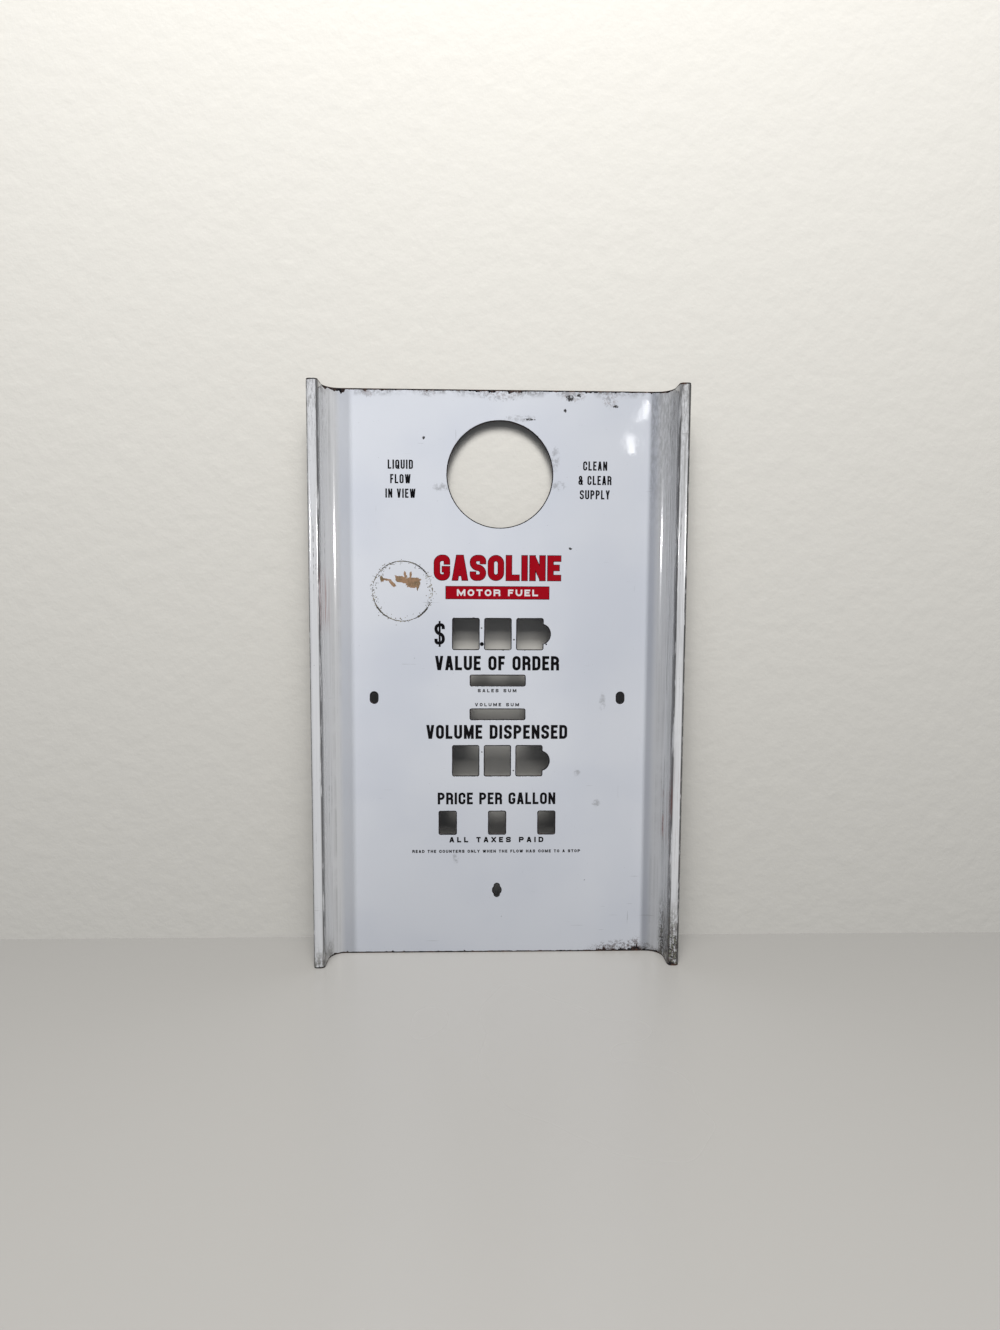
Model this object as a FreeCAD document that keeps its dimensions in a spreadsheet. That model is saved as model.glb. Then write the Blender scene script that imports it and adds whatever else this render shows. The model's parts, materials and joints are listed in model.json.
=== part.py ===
import FreeCAD, Part
import math
import os

import Sketcher

# Face plate of a computing fuel pump: one pressed steel sheet with a forward
# flange down each side, fired all over with a dark ground coat and, on the
# front, a white cover coat, with enamelled legends fired on top of that.
#
# Frame: X to the right, -Y out of the face, +Z up, in millimetres. The origin
# is under the middle of the plate's bounding box, level with its bottom edge.
#
# The sheet is drawn as a section (seen from above) and padded upwards. The
# section is worked out from its front surface: every layer is the band between
# two curves that run parallel to that surface, at given depths behind it.

SIZES = (
    # Sheet and coats
    ("plate_height", 447.7, "bottom edge to top edge"),
    ("plate_width", 285.8, "over the outsides of both flanges"),
    ("flange_depth", 26.8, "front of the lip to the front of the face"),
    ("lip_width", 8.9, "inner wall of the flange to its outside"),
    ("cove_radius", 12.0, "hollow between the face and the flange wall"),
    ("lip_inner_radius", 3.0, "bend between the wall and the lip"),
    ("lip_outer_radius", 3.0, "bend between the lip and its return"),
    ("return_depth", 9.8, "front of the lip to the end of its return"),
    ("steel_gauge", 0.95, "thickness of the steel"),
    ("ground_gauge", 0.12, "thickness of the dark ground coat, each side"),
    ("cover_gauge", 0.2, "thickness of the white cover coat"),
    ("legend_gauge", 0.08, "thickness of one fired legend layer"),
    # Sight glass opening
    ("sight_diameter", 81.7, "opening for the sight glass"),
    ("sight_height", 383.3, "its centre above the bottom edge"),
    ("sight_shift", 1.0, "its centre to the right of the middle"),
    # Counter windows
    ("wheel_window_width", 20.4, "one number wheel's window"),
    ("wheel_window_height", 24.1, "one number wheel's window"),
    ("wheel_pitch", 25.3, "between number wheels"),
    ("window_radius", 1.0, "corner of every window"),
    ("sale_row", 259.3, "centre height of the sale wheels"),
    ("volume_row", 157.9, "centre height of the volume wheels"),
    ("notch_radius", 7.9, "round notch beside the last wheel"),
    ("notch_shift", 8.1, "centre of the notch from the last wheel's centre"),
    ("total_window_width", 43.1, "window of a running total"),
    ("total_window_height", 8.1, "window of a running total"),
    ("sale_total_row", 222.4, "centre height of the sales total"),
    ("volume_total_row", 195.4, "centre height of the volume total"),
    ("price_window_width", 13.3, "one price wheel's window"),
    ("price_window_height", 18.4, "one price wheel's window"),
    ("price_pitch", 39.7, "between price wheels"),
    ("price_row", 107.4, "centre height of the price wheels"),
    # Screw slots
    ("side_slot_spread", 97.8, "middle of the plate to a side slot"),
    ("side_slot_row", 208.7, "centre height of the side slots"),
    ("side_slot_width", 5.6, "across a side slot"),
    ("side_slot_length", 8.8, "up and down a side slot"),
    ("foot_slot_row", 51.9, "centre height of the foot slot"),
    ("foot_slot_width", 3.8, "across the foot slot"),
    ("foot_slot_length", 10.6, "up and down the foot slot"),
    ("foot_slot_eye", 6.6, "diameter of the round middle of the foot slot"),
    # Lettering
    ("stencil_shift", -0.45, "all the legends stand this far right of the middle"),
    ("sight_cap", 7.0, "sight glass legends: capital height"),
    ("sight_letter", 3.15, "sight glass legends: letter width"),
    ("sight_stroke", 1.15, "sight glass legends: stroke"),
    ("sight_gap", 1.0, "sight glass legends: between letters"),
    ("sight_line", 11.05, "sight glass legends: between lines"),
    ("sight_block_row", 379.5, "sight glass legends: centre height of the middle line"),
    ("sight_block_spread", 75.7, "sight glass legends: middle of the plate to a block's middle"),
    ("sale_cap", 11.4, "sale legend: capital height"),
    ("sale_letter", 6.48, "sale legend: letter width"),
    ("sale_stroke", 2.3, "sale legend: stroke"),
    ("sale_gap", 1.4, "sale legend: between letters"),
    ("sale_legend_row", 236.3, "sale legend: centre height"),
    ("volume_cap", 11.2, "volume legend: capital height"),
    ("volume_letter", 6.3, "volume legend: letter width"),
    ("volume_stroke", 2.25, "volume legend: stroke"),
    ("volume_gap", 1.4, "volume legend: between letters"),
    ("volume_legend_row", 181.3, "volume legend: centre height"),
    ("price_cap", 9.6, "price legend: capital height"),
    ("price_letter", 5.56, "price legend: letter width"),
    ("price_stroke", 1.9, "price legend: stroke"),
    ("price_gap", 1.2, "price legend: between letters"),
    ("price_legend_row", 127.4, "price legend: centre height"),
    ("tax_cap", 4.4, "tax legend: capital height"),
    ("tax_letter", 3.91, "tax legend: letter width"),
    ("tax_stroke", 1.15, "tax legend: stroke"),
    ("tax_gap", 2.3, "tax legend: between letters"),
    ("tax_legend_row", 93.6, "tax legend: centre height"),
    ("total_cap", 2.6, "running totals: capital height"),
    ("total_letter", 2.3, "running totals: letter width"),
    ("total_stroke", 0.62, "running totals: stroke"),
    ("total_gap", 1.4, "running totals: between letters"),
    ("sale_total_legend_row", 214.4, "sales total: centre height of its legend"),
    ("volume_total_legend_row", 203.2, "volume total: centre height of its legend"),
    ("footer_cap", 2.4, "footer: capital height"),
    ("footer_letter", 1.95, "footer: letter width"),
    ("footer_stroke", 0.6, "footer: stroke"),
    ("footer_gap", 0.75, "footer: between letters"),
    ("footer_row", 84.1, "footer: centre height"),
    ("currency_cap", 16.8, "currency sign: height of its curve"),
    ("currency_letter", 8.2, "currency sign: width of its curve"),
    ("currency_stroke", 2.5, "currency sign: stroke of its curve"),
    ("currency_bar", 20.4, "currency sign: length of its upright bar"),
    ("currency_bar_width", 1.5, "currency sign: width of its upright bar"),
    ("currency_spread", 45.5, "currency sign: left of the legends' middle"),
    ("point_diameter", 3.1, "decimal point of the sale, if the bar between its windows is wide enough"),
    ("point_drop", 7.9, "both points, below the centre of the sale wheels"),
    ("fraction_point_diameter", 1.3, "small point beside the last sale wheel"),
    ("fraction_point_spread", 38.3, "small point, right of the middle"),
    # Emblem
    ("emblem_cap", 19.5, "emblem word: capital height"),
    ("emblem_letter", 12.1, "emblem word: letter width"),
    ("emblem_stroke", 4.3, "emblem word: stroke"),
    ("emblem_gap", 2.0, "emblem word: between letters"),
    ("emblem_row", 311.2, "emblem word: centre height"),
    ("band_width", 81.0, "emblem band: across"),
    ("band_height", 9.6, "emblem band: up and down"),
    ("band_row", 291.8, "emblem band: centre height"),
    ("band_cap", 5.2, "words on the band: capital height"),
    ("band_letter", 5.3, "words on the band: letter width"),
    ("band_stroke", 1.3, "words on the band: stroke"),
    ("band_gap", 1.7, "words on the band: between letters"),
    ("keyline", 0.4, "dark edge shown round the red emblem"),
    # Remains of a round paper seal
    ("seal_diameter", 47.6, "outside of the ring of old glue"),
    ("seal_line", 0.9, "width of the ring"),
    ("seal_spread", 75.0, "its centre, left of the middle"),
    ("seal_row", 292.7, "its centre height"),
    ("seal_gauge", 0.06, "thickness of glue and of paper"),
)

# Half the width of the flat face, between the coves
HALF_FLAT = "sizes.plate_width / 2 - sizes.lip_width - sizes.cove_radius"

# The layers, from the front of the sheet to its back: node name, and the
# depths of its front and back surfaces behind the front of the plate.
BEHIND_COVER = "sizes.cover_gauge"
BEHIND_GROUND = BEHIND_COVER + " + sizes.ground_gauge"
BEHIND_STEEL = BEHIND_GROUND + " + sizes.steel_gauge"
BEHIND_ALL = BEHIND_STEEL + " + sizes.ground_gauge"
LAYERS = (
    ("cover_coat_white", "0", BEHIND_COVER),
    ("ground_coat_front", BEHIND_COVER, BEHIND_GROUND),
    ("steel_core", BEHIND_GROUND, BEHIND_STEEL),
    ("ground_coat_back", BEHIND_STEEL, BEHIND_ALL),
)

# Stroke alphabet. Each letter is one or more centre lines in its own cell,
# where x and z run from 0 to 1 between the middles of the outer strokes. A
# point (x, z, r) is rounded, r being 1 for the fullest bend that fits.
RING = "ring"
CLIP = "clip"
BOWL = ((0, 1), (1, 1, 1), (1, 0.47, 1), (0, 0.47))
STEM = ((0, 0), (0, 1))
TOP_ARM = ((0, 1), (1, 1))
FOOT_ARM = ((0, 0), (1, 0))
S_LINE = ((1, 0.85), (1, 1, 1), (0, 1, 1), (0, 0.56, 1), (1, 0.46, 1), (1, 0, 1), (0, 0, 1), (0, 0.15))
# Letter: (width as a share of the common letter width, options, strokes)
ALPHABET = {
    "A": (1.0, (CLIP,), (
        ((-0.02, -0.2), (0.5, 1.3)), ((1.02, -0.2), (0.5, 1.3)), ((0.2, 0.24), (0.8, 0.24)),
    )),
    "C": (1.0, (), (((1, 0.72), (1, 1, 1), (0, 1, 1), (0, 0, 1), (1, 0, 1), (1, 0.28)),)),
    "D": (1.0, (RING,), (((0, 0), (1, 0, 1), (1, 1, 1), (0, 1)),)),
    "E": (0.85, (), (STEM, TOP_ARM, FOOT_ARM, ((0, 0.52), (0.8, 0.52)))),
    "F": (0.8, (), (STEM, TOP_ARM, ((0, 0.5), (0.8, 0.5)))),
    "G": (1.0, (), (((1, 0.82), (1, 1, 1), (0, 1, 1), (0, 0, 1), (1, 0, 1), (1, 0.42), (0.8, 0.42)),)),
    "H": (1.0, (), (STEM, ((1, 0), (1, 1)), ((0, 0.52), (1, 0.52)))),
    "I": (0.0, (), (STEM,)),
    "L": (0.85, (), (STEM, FOOT_ARM)),
    "M": (1.25, (CLIP,), (STEM, ((1, 0), (1, 1)), ((-0.05, 1.2), (0.5, 0.1), (1.05, 1.2)))),
    "N": (1.0, (CLIP,), (STEM, ((1, 0), (1, 1)), ((-0.1, 1.15), (1.1, -0.15)))),
    "O": (1.0, (RING,), (((0, 0, 1), (1, 0, 1), (1, 1, 1), (0, 1, 1)),)),
    "P": (1.0, (), (STEM, BOWL)),
    "Q": (1.0, (RING,), (((0, 0, 1), (1, 0, 1), (1, 1, 1), (0, 1, 1)), ((0.62, 0.3), (1, -0.02)))),
    "R": (1.0, (), (STEM, BOWL, ((0.4, 0.47), (1, 0.47, 0.7), (1, 0)))),
    "S": (1.0, (), (S_LINE,)),
    "T": (0.9, (), (TOP_ARM, ((0.5, 0), (0.5, 1)))),
    "U": (1.0, (), (((0, 1), (0, 0, 1), (1, 0, 1), (1, 1)),)),
    "V": (1.0, (CLIP,), (((-0.02, 1.2), (0.5, -0.3)), ((1.02, 1.2), (0.5, -0.3)))),
    "W": (1.4, (CLIP,), (((-0.02, 1.2), (0.25, -0.2), (0.5, 1.0), (0.75, -0.2), (1.02, 1.2)),)),
    "X": (1.0, (CLIP,), (((-0.1, -0.15), (1.1, 1.15)), ((-0.1, 1.15), (1.1, -0.15)))),
    "Y": (1.0, (CLIP,), (((-0.1, 1.2), (0.5, 0.4)), ((1.1, 1.2), (0.5, 0.4)), ((0.5, 0), (0.5, 0.45)))),
    "&": (1.1, (), (
        ((1, 0), (0.12, 0.72, 0.5), (0.12, 1, 1), (0.78, 1, 1), (0.78, 0.74)),
        ((0.78, 0.74), (0.78, 0.6), (0, 0.3)),
        ((0.2, 0.42), (0, 0.34, 0.6), (0, 0, 1), (0.8, 0, 1), (1, 0.42)),
    )),
}
SPACE_SHARE = 0.5

EMBLEM_TEXT = "GASOLINE"
BAND_TEXT = "MOTOR FUEL"
# Blocks beside the sight glass: node name, wording line by line, side
SIGHT_BLOCKS = (
    ("sight_legend_left", ("LIQUID", "FLOW", "IN VIEW"), -1),
    ("sight_legend_right", ("CLEAN", "& CLEAR", "SUPPLY"), 1),
)
# Single-line legends: node name, wording, family of sizes, centre height
LINE_LEGENDS = (
    ("sale_legend", "VALUE OF ORDER", "sale", "sale_legend_row"),
    ("sale_total_legend", "SALES SUM", "total", "sale_total_legend_row"),
    ("volume_total_legend", "VOLUME SUM", "total", "volume_total_legend_row"),
    ("volume_legend", "VOLUME DISPENSED", "volume", "volume_legend_row"),
    ("unit_price_legend", "PRICE PER GALLON", "price", "price_legend_row"),
    ("tax_legend", "ALL TAXES PAID", "tax", "tax_legend_row"),
    ("footer_legend", "READ THE COUNTERS ONLY WHEN THE FLOW HAS COME TO A STOP", "footer", "footer_row"),
)

# Widest that the decimal point may be, as a share of the bar it stands on
POINT_SHARE = 0.7
# Where glue is left round the seal, in degrees anticlockwise from the right
GLUE_ARCS = ((4, 58), (64, 131), (137, 176), (183, 226), (231, 297), (303, 352))
# Outlines of the two scraps of paper, in mm from the seal's centre
PAPER_SCRAPS = (
    ((-4.5, 3.0), (-1.5, 7.5), (4.0, 6.0), (9.0, 9.0), (13.5, 5.5), (10.5, 1.5), (3.5, 2.8)),
    ((-16.0, 8.0), (-11.0, 10.5), (-5.5, 8.5), (-7.5, 4.5), (-13.0, 4.0)),
)

DOC = FreeCAD.newDocument("face_plate")
SHEET = DOC.addObject("Spreadsheet::Sheet", "sizes")


def fill_sheet():
    """Write every driving size into the sheet, with its alias and its note."""
    for row, (alias, value, note) in enumerate(SIZES, start=1):
        SHEET.set("A%d" % row, note)
        SHEET.set("B%d" % row, str(value))
        SHEET.setAlias("B%d" % row, alias)
    DOC.recompute()


def size(alias):
    """Give the value of one driving size."""
    return float(SHEET.get(alias))


# ---------------------------------------------------------------------------
# Sketch helpers
# ---------------------------------------------------------------------------

START, END, CENTRE = 1, 2, 3
ROOT_POINT = (-1, 1)
UPRIGHT_AXIS = -2


def new_sketch(body, name, role):
    """Start a sketch on one of the body's own origin planes."""
    plane = next(item for item in body.Origin.OriginFeatures if item.Role == role)
    sketch = body.newObject("Sketcher::SketchObject", name)
    sketch.AttachmentSupport = [(plane, "")]
    sketch.MapMode = "FlatFace"
    return sketch


def value_of(sketch, expression):
    """Work out an expression's number in the sketch's document."""
    result = sketch.evalExpression(expression)
    return float(getattr(result, "Value", result))


def bind(sketch, kind, places, expression):
    """Add a sized constraint and tie it to an expression."""
    value = value_of(sketch, expression)
    index = sketch.addConstraint(Sketcher.Constraint(kind, *places, value))
    sketch.setExpression("Constraints[%d]" % index, expression)


def fix_along(sketch, kind, place, expression):
    """Hold a point at a signed distance from the sketch's root point."""
    if value_of(sketch, expression) >= 0:
        bind(sketch, kind, ROOT_POINT + place, expression)
    else:
        bind(sketch, kind, place + ROOT_POINT, "-(%s)" % expression)


def fix_point(sketch, place, across, along):
    """Hold a point at two signed distances; None means on the upright axis."""
    if across is None:
        sketch.addConstraint(Sketcher.Constraint("PointOnObject", *place, UPRIGHT_AXIS))
    else:
        fix_along(sketch, "DistanceX", place, across)
    fix_along(sketch, "DistanceY", place, along)


def add_arc(sketch, across, along, radius, start_degrees, span=90):
    """Add an arc whose ends stand level with or plumb to its centre.

    The arc runs anticlockwise from start_degrees, a multiple of 90, over 90 or
    180 degrees, and its centre and radius are tied to the expressions.
    """
    centre = FreeCAD.Vector(value_of(sketch, across or "0"), value_of(sketch, along), 0)
    circle = Part.Circle(centre, FreeCAD.Vector(0, 0, 1), value_of(sketch, radius))
    first = math.radians(start_degrees)
    last = math.radians(start_degrees + span)
    arc = sketch.addGeometry(Part.ArcOfCircle(circle, first, last), False)
    fix_point(sketch, (arc, CENTRE), across, along)
    bind(sketch, "Radius", (arc,), radius)
    for end, angle in ((START, start_degrees), (END, start_degrees + span)):
        kind = "Horizontal" if angle % 180 == 0 else "Vertical"
        sketch.addConstraint(Sketcher.Constraint(kind, arc, end, arc, CENTRE))
    return arc


def add_link(sketch, first, second):
    """Join two existing points with a line and return the line."""
    line = sketch.addGeometry(
        Part.LineSegment(sketch.getPoint(*first), sketch.getPoint(*second)), False)
    sketch.addConstraint(Sketcher.Constraint("Coincident", line, START, *first))
    sketch.addConstraint(Sketcher.Constraint("Coincident", line, END, *second))
    return line


def add_round_box(sketch, across, along, width, height, radius):
    """Draw a rectangle with rounded corners about the given centre."""
    side = "(%s) / 2 - %s" % (width, radius)
    rise = "(%s) / 2 - %s" % (height, radius)
    middle = across or "0"
    corners = []
    for x_sign, z_sign, angle in (("+", "+", 0), ("-", "+", 90), ("-", "-", 180), ("+", "-", 270)):
        corner_x = "%s %s (%s)" % (middle, x_sign, side)
        corner_z = "%s %s (%s)" % (along, z_sign, rise)
        corners.append(add_arc(sketch, corner_x, corner_z, radius, angle))
    for index, arc in enumerate(corners):
        add_link(sketch, (arc, END), (corners[(index + 1) % 4], START))


def add_slot(sketch, across, along, width, length):
    """Draw an upright slot with round ends about the given centre."""
    rise = "(%s - %s) / 2" % (length, width)
    upper = add_arc(sketch, across, "%s + %s" % (along, rise), "%s / 2" % width, 0, 180)
    lower = add_arc(sketch, across, "%s - %s" % (along, rise), "%s / 2" % width, 180, 180)
    add_link(sketch, (upper, END), (lower, START))
    add_link(sketch, (lower, END), (upper, START))


def add_circle(sketch, across, along, radius):
    """Draw a circle about the given centre."""
    centre = FreeCAD.Vector(value_of(sketch, across or "0"), value_of(sketch, along), 0)
    circle = sketch.addGeometry(
        Part.Circle(centre, FreeCAD.Vector(0, 0, 1), value_of(sketch, radius)), False)
    fix_point(sketch, (circle, CENTRE), across, along)
    bind(sketch, "Radius", (circle,), radius)


# ---------------------------------------------------------------------------
# Sheet metal and coats
# ---------------------------------------------------------------------------

def add_section_curve(sketch, depth):
    """Draw the right half of the section at a depth behind the front surface.

    Sketch Y is 0 at the front of the lip and grows towards the back. From the
    middle outwards the curve is the flat face, the cove, the flange wall, the
    lip between its two bends, and the return. Returns its two end points.
    """
    wall = "sizes.plate_width / 2 - sizes.lip_width"
    cove = add_arc(sketch, HALF_FLAT, "sizes.flange_depth - sizes.cove_radius",
                   "sizes.cove_radius + %s" % depth, 0)
    inner = add_arc(sketch, wall + " + sizes.lip_inner_radius", "sizes.lip_inner_radius",
                    "sizes.lip_inner_radius - (%s)" % depth, 180)
    outer = add_arc(sketch, "sizes.plate_width / 2 - sizes.lip_outer_radius", "sizes.lip_outer_radius",
                    "sizes.lip_outer_radius - (%s)" % depth, 270)
    add_link(sketch, (cove, START), (inner, START))
    add_link(sketch, (inner, END), (outer, START))

    face_end = sketch.getPoint(cove, END)
    face = sketch.addGeometry(Part.LineSegment(FreeCAD.Vector(0, face_end.y, 0), face_end), False)
    sketch.addConstraint(Sketcher.Constraint("Coincident", face, END, cove, END))
    sketch.addConstraint(Sketcher.Constraint("Horizontal", face))
    sketch.addConstraint(Sketcher.Constraint("PointOnObject", face, START, UPRIGHT_AXIS))

    lip_end = sketch.getPoint(outer, END)
    tip = FreeCAD.Vector(lip_end.x, value_of(sketch, "sizes.return_depth"), 0)
    back = sketch.addGeometry(Part.LineSegment(lip_end, tip), False)
    sketch.addConstraint(Sketcher.Constraint("Coincident", back, START, outer, END))
    sketch.addConstraint(Sketcher.Constraint("Vertical", back))
    fix_along(sketch, "DistanceY", (back, END), "sizes.return_depth")
    return (face, START), (back, END)


def add_pad(body, near, far):
    """Pad the half section up the plate's height and mirror it to the left."""
    section = new_sketch(body, body.Name + "_section", "XY_Plane")
    near_middle, near_tip = add_section_curve(section, near)
    far_middle, far_tip = add_section_curve(section, far)
    add_link(section, near_middle, far_middle)
    add_link(section, near_tip, far_tip)
    pad = body.newObject("PartDesign::Pad", body.Name + "_half")
    pad.Profile = section
    pad.setExpression("Length", "sizes.plate_height")
    DOC.recompute()
    add_mirror(body, pad, body.Name + "_sheet")


def add_mirror(body, feature, name):
    """Repeat a feature on the other side of the plate's middle plane."""
    plane = next(item for item in body.Origin.OriginFeatures if item.Role == "YZ_Plane")
    mirror = body.newObject("PartDesign::Mirrored", name)
    mirror.Originals = [feature]
    mirror.MirrorPlane = (plane, [""])
    body.Tip = mirror
    DOC.recompute()


def add_row(body, pocket, sketch, pitch, name):
    """Repeat the left window of a row of three across the row."""
    row = body.newObject("PartDesign::LinearPattern", name)
    row.Originals = [pocket]
    row.Direction = (sketch, ["H_Axis"])
    row.Occurrences = 3
    row.setExpression("Length", "2 * " + pitch)
    body.Tip = row
    DOC.recompute()


def cut_opening(body, name, draw):
    """Cut what draw puts in a sketch through the face, and prove that it cut."""
    before = body.Shape.Volume
    sketch = new_sketch(body, "%s_%s_outline" % (body.Name, name), "XZ_Plane")
    draw(sketch)
    pocket = body.newObject("PartDesign::Pocket", "%s_%s" % (body.Name, name))
    pocket.Profile = sketch
    pocket.Type = "ThroughAll"
    DOC.recompute()
    if body.Shape.Volume >= before:
        raise RuntimeError("%s cut nothing from %s" % (name, body.Name))
    return pocket, sketch


def cut_wheel_row(body, name, row):
    """Cut three wheel windows and the round notch beside the last of them."""
    pocket, sketch = cut_opening(body, name + "_window", lambda outline: add_round_box(
        outline, "-sizes.wheel_pitch", row, "sizes.wheel_window_width",
        "sizes.wheel_window_height", "sizes.window_radius"))
    add_row(body, pocket, sketch, "sizes.wheel_pitch", "%s_%s_windows" % (body.Name, name))
    cut_opening(body, name + "_notch", lambda outline: add_circle(
        outline, "sizes.wheel_pitch + sizes.notch_shift", row, "sizes.notch_radius"))


def cut_openings(body):
    """Cut every opening of the plate through one layer."""
    cut_opening(body, "sight_hole", lambda outline: add_circle(
        outline, "sizes.sight_shift", "sizes.sight_height", "sizes.sight_diameter / 2"))
    cut_wheel_row(body, "sale", "sizes.sale_row")
    cut_wheel_row(body, "volume", "sizes.volume_row")
    for name in ("sale_total", "volume_total"):
        cut_opening(body, name + "_window", lambda outline, row=name: add_round_box(
            outline, None, "sizes.%s_row" % row, "sizes.total_window_width",
            "sizes.total_window_height", "sizes.window_radius"))
    pocket, sketch = cut_opening(body, "price_window", lambda outline: add_round_box(
        outline, "-sizes.price_pitch", "sizes.price_row", "sizes.price_window_width",
        "sizes.price_window_height", "sizes.window_radius"))
    add_row(body, pocket, sketch, "sizes.price_pitch", body.Name + "_price_windows")
    spread = "min(sizes.side_slot_spread; %s - sizes.side_slot_width)" % HALF_FLAT
    pocket, sketch = cut_opening(body, "side_slot", lambda outline: add_slot(
        outline, "-" + spread, "sizes.side_slot_row",
        "sizes.side_slot_width", "sizes.side_slot_length"))
    add_mirror(body, pocket, body.Name + "_side_slots")
    cut_opening(body, "foot_slot", lambda outline: add_slot(
        outline, None, "sizes.foot_slot_row", "sizes.foot_slot_width", "sizes.foot_slot_length"))
    cut_opening(body, "foot_slot_eye", lambda outline: add_circle(
        outline, None, "sizes.foot_slot_row", "sizes.foot_slot_eye / 2"))


def make_layer(name, near, far):
    """Make one layer of the sheet between two depths behind the front."""
    body = DOC.addObject("PartDesign::Body", name)
    add_pad(body, near, far)
    cut_openings(body)
    body.setExpression("Placement.Base.y", "-(sizes.flange_depth + %s) / 2" % BEHIND_ALL)
    return body


# ---------------------------------------------------------------------------
# Lettering
# ---------------------------------------------------------------------------

def offset_side(points, rounds, offset, closed):
    """Follow a centre line at a sideways offset, to its left when positive.

    Gives a list whose items are one point, for an end or a sharp corner, or
    three points of an arc, for a rounded corner.
    """
    count = len(points)
    items = []
    for index, corner in enumerate(points):
        first = index == 0 and not closed
        last = index == count - 1 and not closed
        ahead = None if last else (points[(index + 1) % count] - corner)
        behind = None if first else (corner - points[index - 1])
        if first or last:
            run = FreeCAD.Vector(ahead or behind).normalize()
            normal = FreeCAD.Vector(-run.z, 0, run.x)
            items.append((corner + normal * offset,))
            continue
        room = min(ahead.Length, behind.Length) / 2
        behind = FreeCAD.Vector(behind).normalize()
        ahead = FreeCAD.Vector(ahead).normalize()
        turn = math.atan2(behind.x * ahead.z - behind.z * ahead.x, behind.dot(ahead))
        normal_in = FreeCAD.Vector(-behind.z, 0, behind.x)
        normal_out = FreeCAD.Vector(-ahead.z, 0, ahead.x)
        tangent = room * rounds[index]
        radius = tangent / math.tan(abs(turn) / 2)
        inward = math.copysign(1, turn)
        side_radius = radius - offset * inward
        if rounds[index] == 0 or side_radius < 0.02 * abs(offset):
            items.append((corner + (normal_in + normal_out) * (offset / (1 + normal_in.dot(normal_out))),))
            continue
        centre = corner - behind * tangent + normal_in * (radius * inward)
        middle = centre + FreeCAD.Vector(corner - centre).normalize() * side_radius
        items.append((corner - behind * tangent + normal_in * offset, middle,
                      corner + ahead * tangent + normal_out * offset))
    return items


def wire_through(items):
    """Join the points and arcs of an outline into one closed wire."""
    edges = []
    for index, item in enumerate(items):
        if len(item) == 3:
            edges.append(Part.Arc(*item).toShape())
        following = items[(index + 1) % len(items)][0]
        if item[-1].distanceToPoint(following) > 1e-6:
            edges.append(Part.makeLine(item[-1], following))
    return Part.Wire(edges)


def stroke_solid(path, scale, shift, width, gauge, closed):
    """Thicken one centre line of a letter into a flat solid.

    Open ends are square and run half a stroke past the centre line's end.
    """
    points = [FreeCAD.Vector(point[0] * scale[0], 0, point[1] * scale[1]) + shift for point in path]
    rounds = [point[2] if len(point) == 3 else 0 for point in path]
    if not closed:
        points[0] += (points[0] - points[1]).normalize() * (width / 2)
        points[-1] += (points[-1] - points[-2]).normalize() * (width / 2)
    left = offset_side(points, rounds, width / 2, closed)
    right = offset_side(points, rounds, -width / 2, closed)
    out = FreeCAD.Vector(0, -gauge, 0)
    if closed:
        return Part.Face(wire_through(right)).extrude(out).cut(Part.Face(wire_through(left)).extrude(out))
    back = [tuple(reversed(item)) for item in reversed(right)]
    return Part.Face(wire_through(left + back)).extrude(out)


def letter_solid(letter, across, along, family, gauge, grow=0.0):
    """Make one letter with its cell's left bottom corner at the given place.

    family holds the capital height, letter width and stroke. grow thickens
    the letter all round, for a keyline that shows round a letter above it.
    """
    cap, letter_width, stroke = family
    share, options, strokes = ALPHABET[letter]
    width = max(share * letter_width, stroke)
    scale = (width - stroke, cap - stroke)
    shift = FreeCAD.Vector(across + stroke / 2, 0, along + stroke / 2)
    solids = [
        stroke_solid(path, scale, shift, stroke + 2 * grow, gauge, RING in options and index == 0)
        for index, path in enumerate(strokes)
    ]
    shape = solids[0] if len(solids) == 1 else solids[0].multiFuse(solids[1:])
    if CLIP in options:
        corner = FreeCAD.Vector(across - grow, -gauge, along - grow)
        cell = Part.makeBox(width + 2 * grow, gauge, cap + 2 * grow, corner)
        shape = shape.common(cell)
    return shape.removeSplitter()


def letter_width_of(letter, family):
    """Give the width of a letter's cell, or of the space between words."""
    cap, letter_width, stroke = family
    if letter == " ":
        return SPACE_SHARE * letter_width
    return max(ALPHABET[letter][0] * letter_width, stroke)


def line_solids(text, across, row, family, gap, gauge, grow=0.0):
    """Make one line of lettering centred on a place in the plate's face."""
    widths = [letter_width_of(letter, family) for letter in text]
    place = across - (sum(widths) + gap * (len(text) - 1)) / 2
    bottom = row - family[0] / 2
    solids = []
    for letter, width in zip(text, widths):
        if letter != " ":
            solids.append(letter_solid(letter, place, bottom, family, gauge, grow))
        place += width + gap
    return solids


def family_of(name):
    """Give a legend family's capital height, letter width and stroke."""
    return size(name + "_cap"), size(name + "_letter"), size(name + "_stroke")


def add_print(name, solids, layers_below=0.0):
    """Keep fired or glued pieces as one node on the front of the face."""
    total = size("cover_gauge") + 2 * size("ground_gauge") + size("steel_gauge")
    front = size("flange_depth") - (size("flange_depth") + total) / 2
    feature = DOC.addObject("Part::Feature", name)
    feature.Shape = solids[0] if len(solids) == 1 else Part.makeCompound(solids)
    feature.Placement = FreeCAD.Placement(FreeCAD.Vector(0, front - layers_below, 0), FreeCAD.Rotation())
    return feature


def disc(across, row, diameter, gauge):
    """Make a flat round dot standing forward of the face."""
    place = FreeCAD.Vector(across, 0, row)
    return Part.makeCylinder(diameter / 2, gauge, place, FreeCAD.Vector(0, -1, 0))


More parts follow.
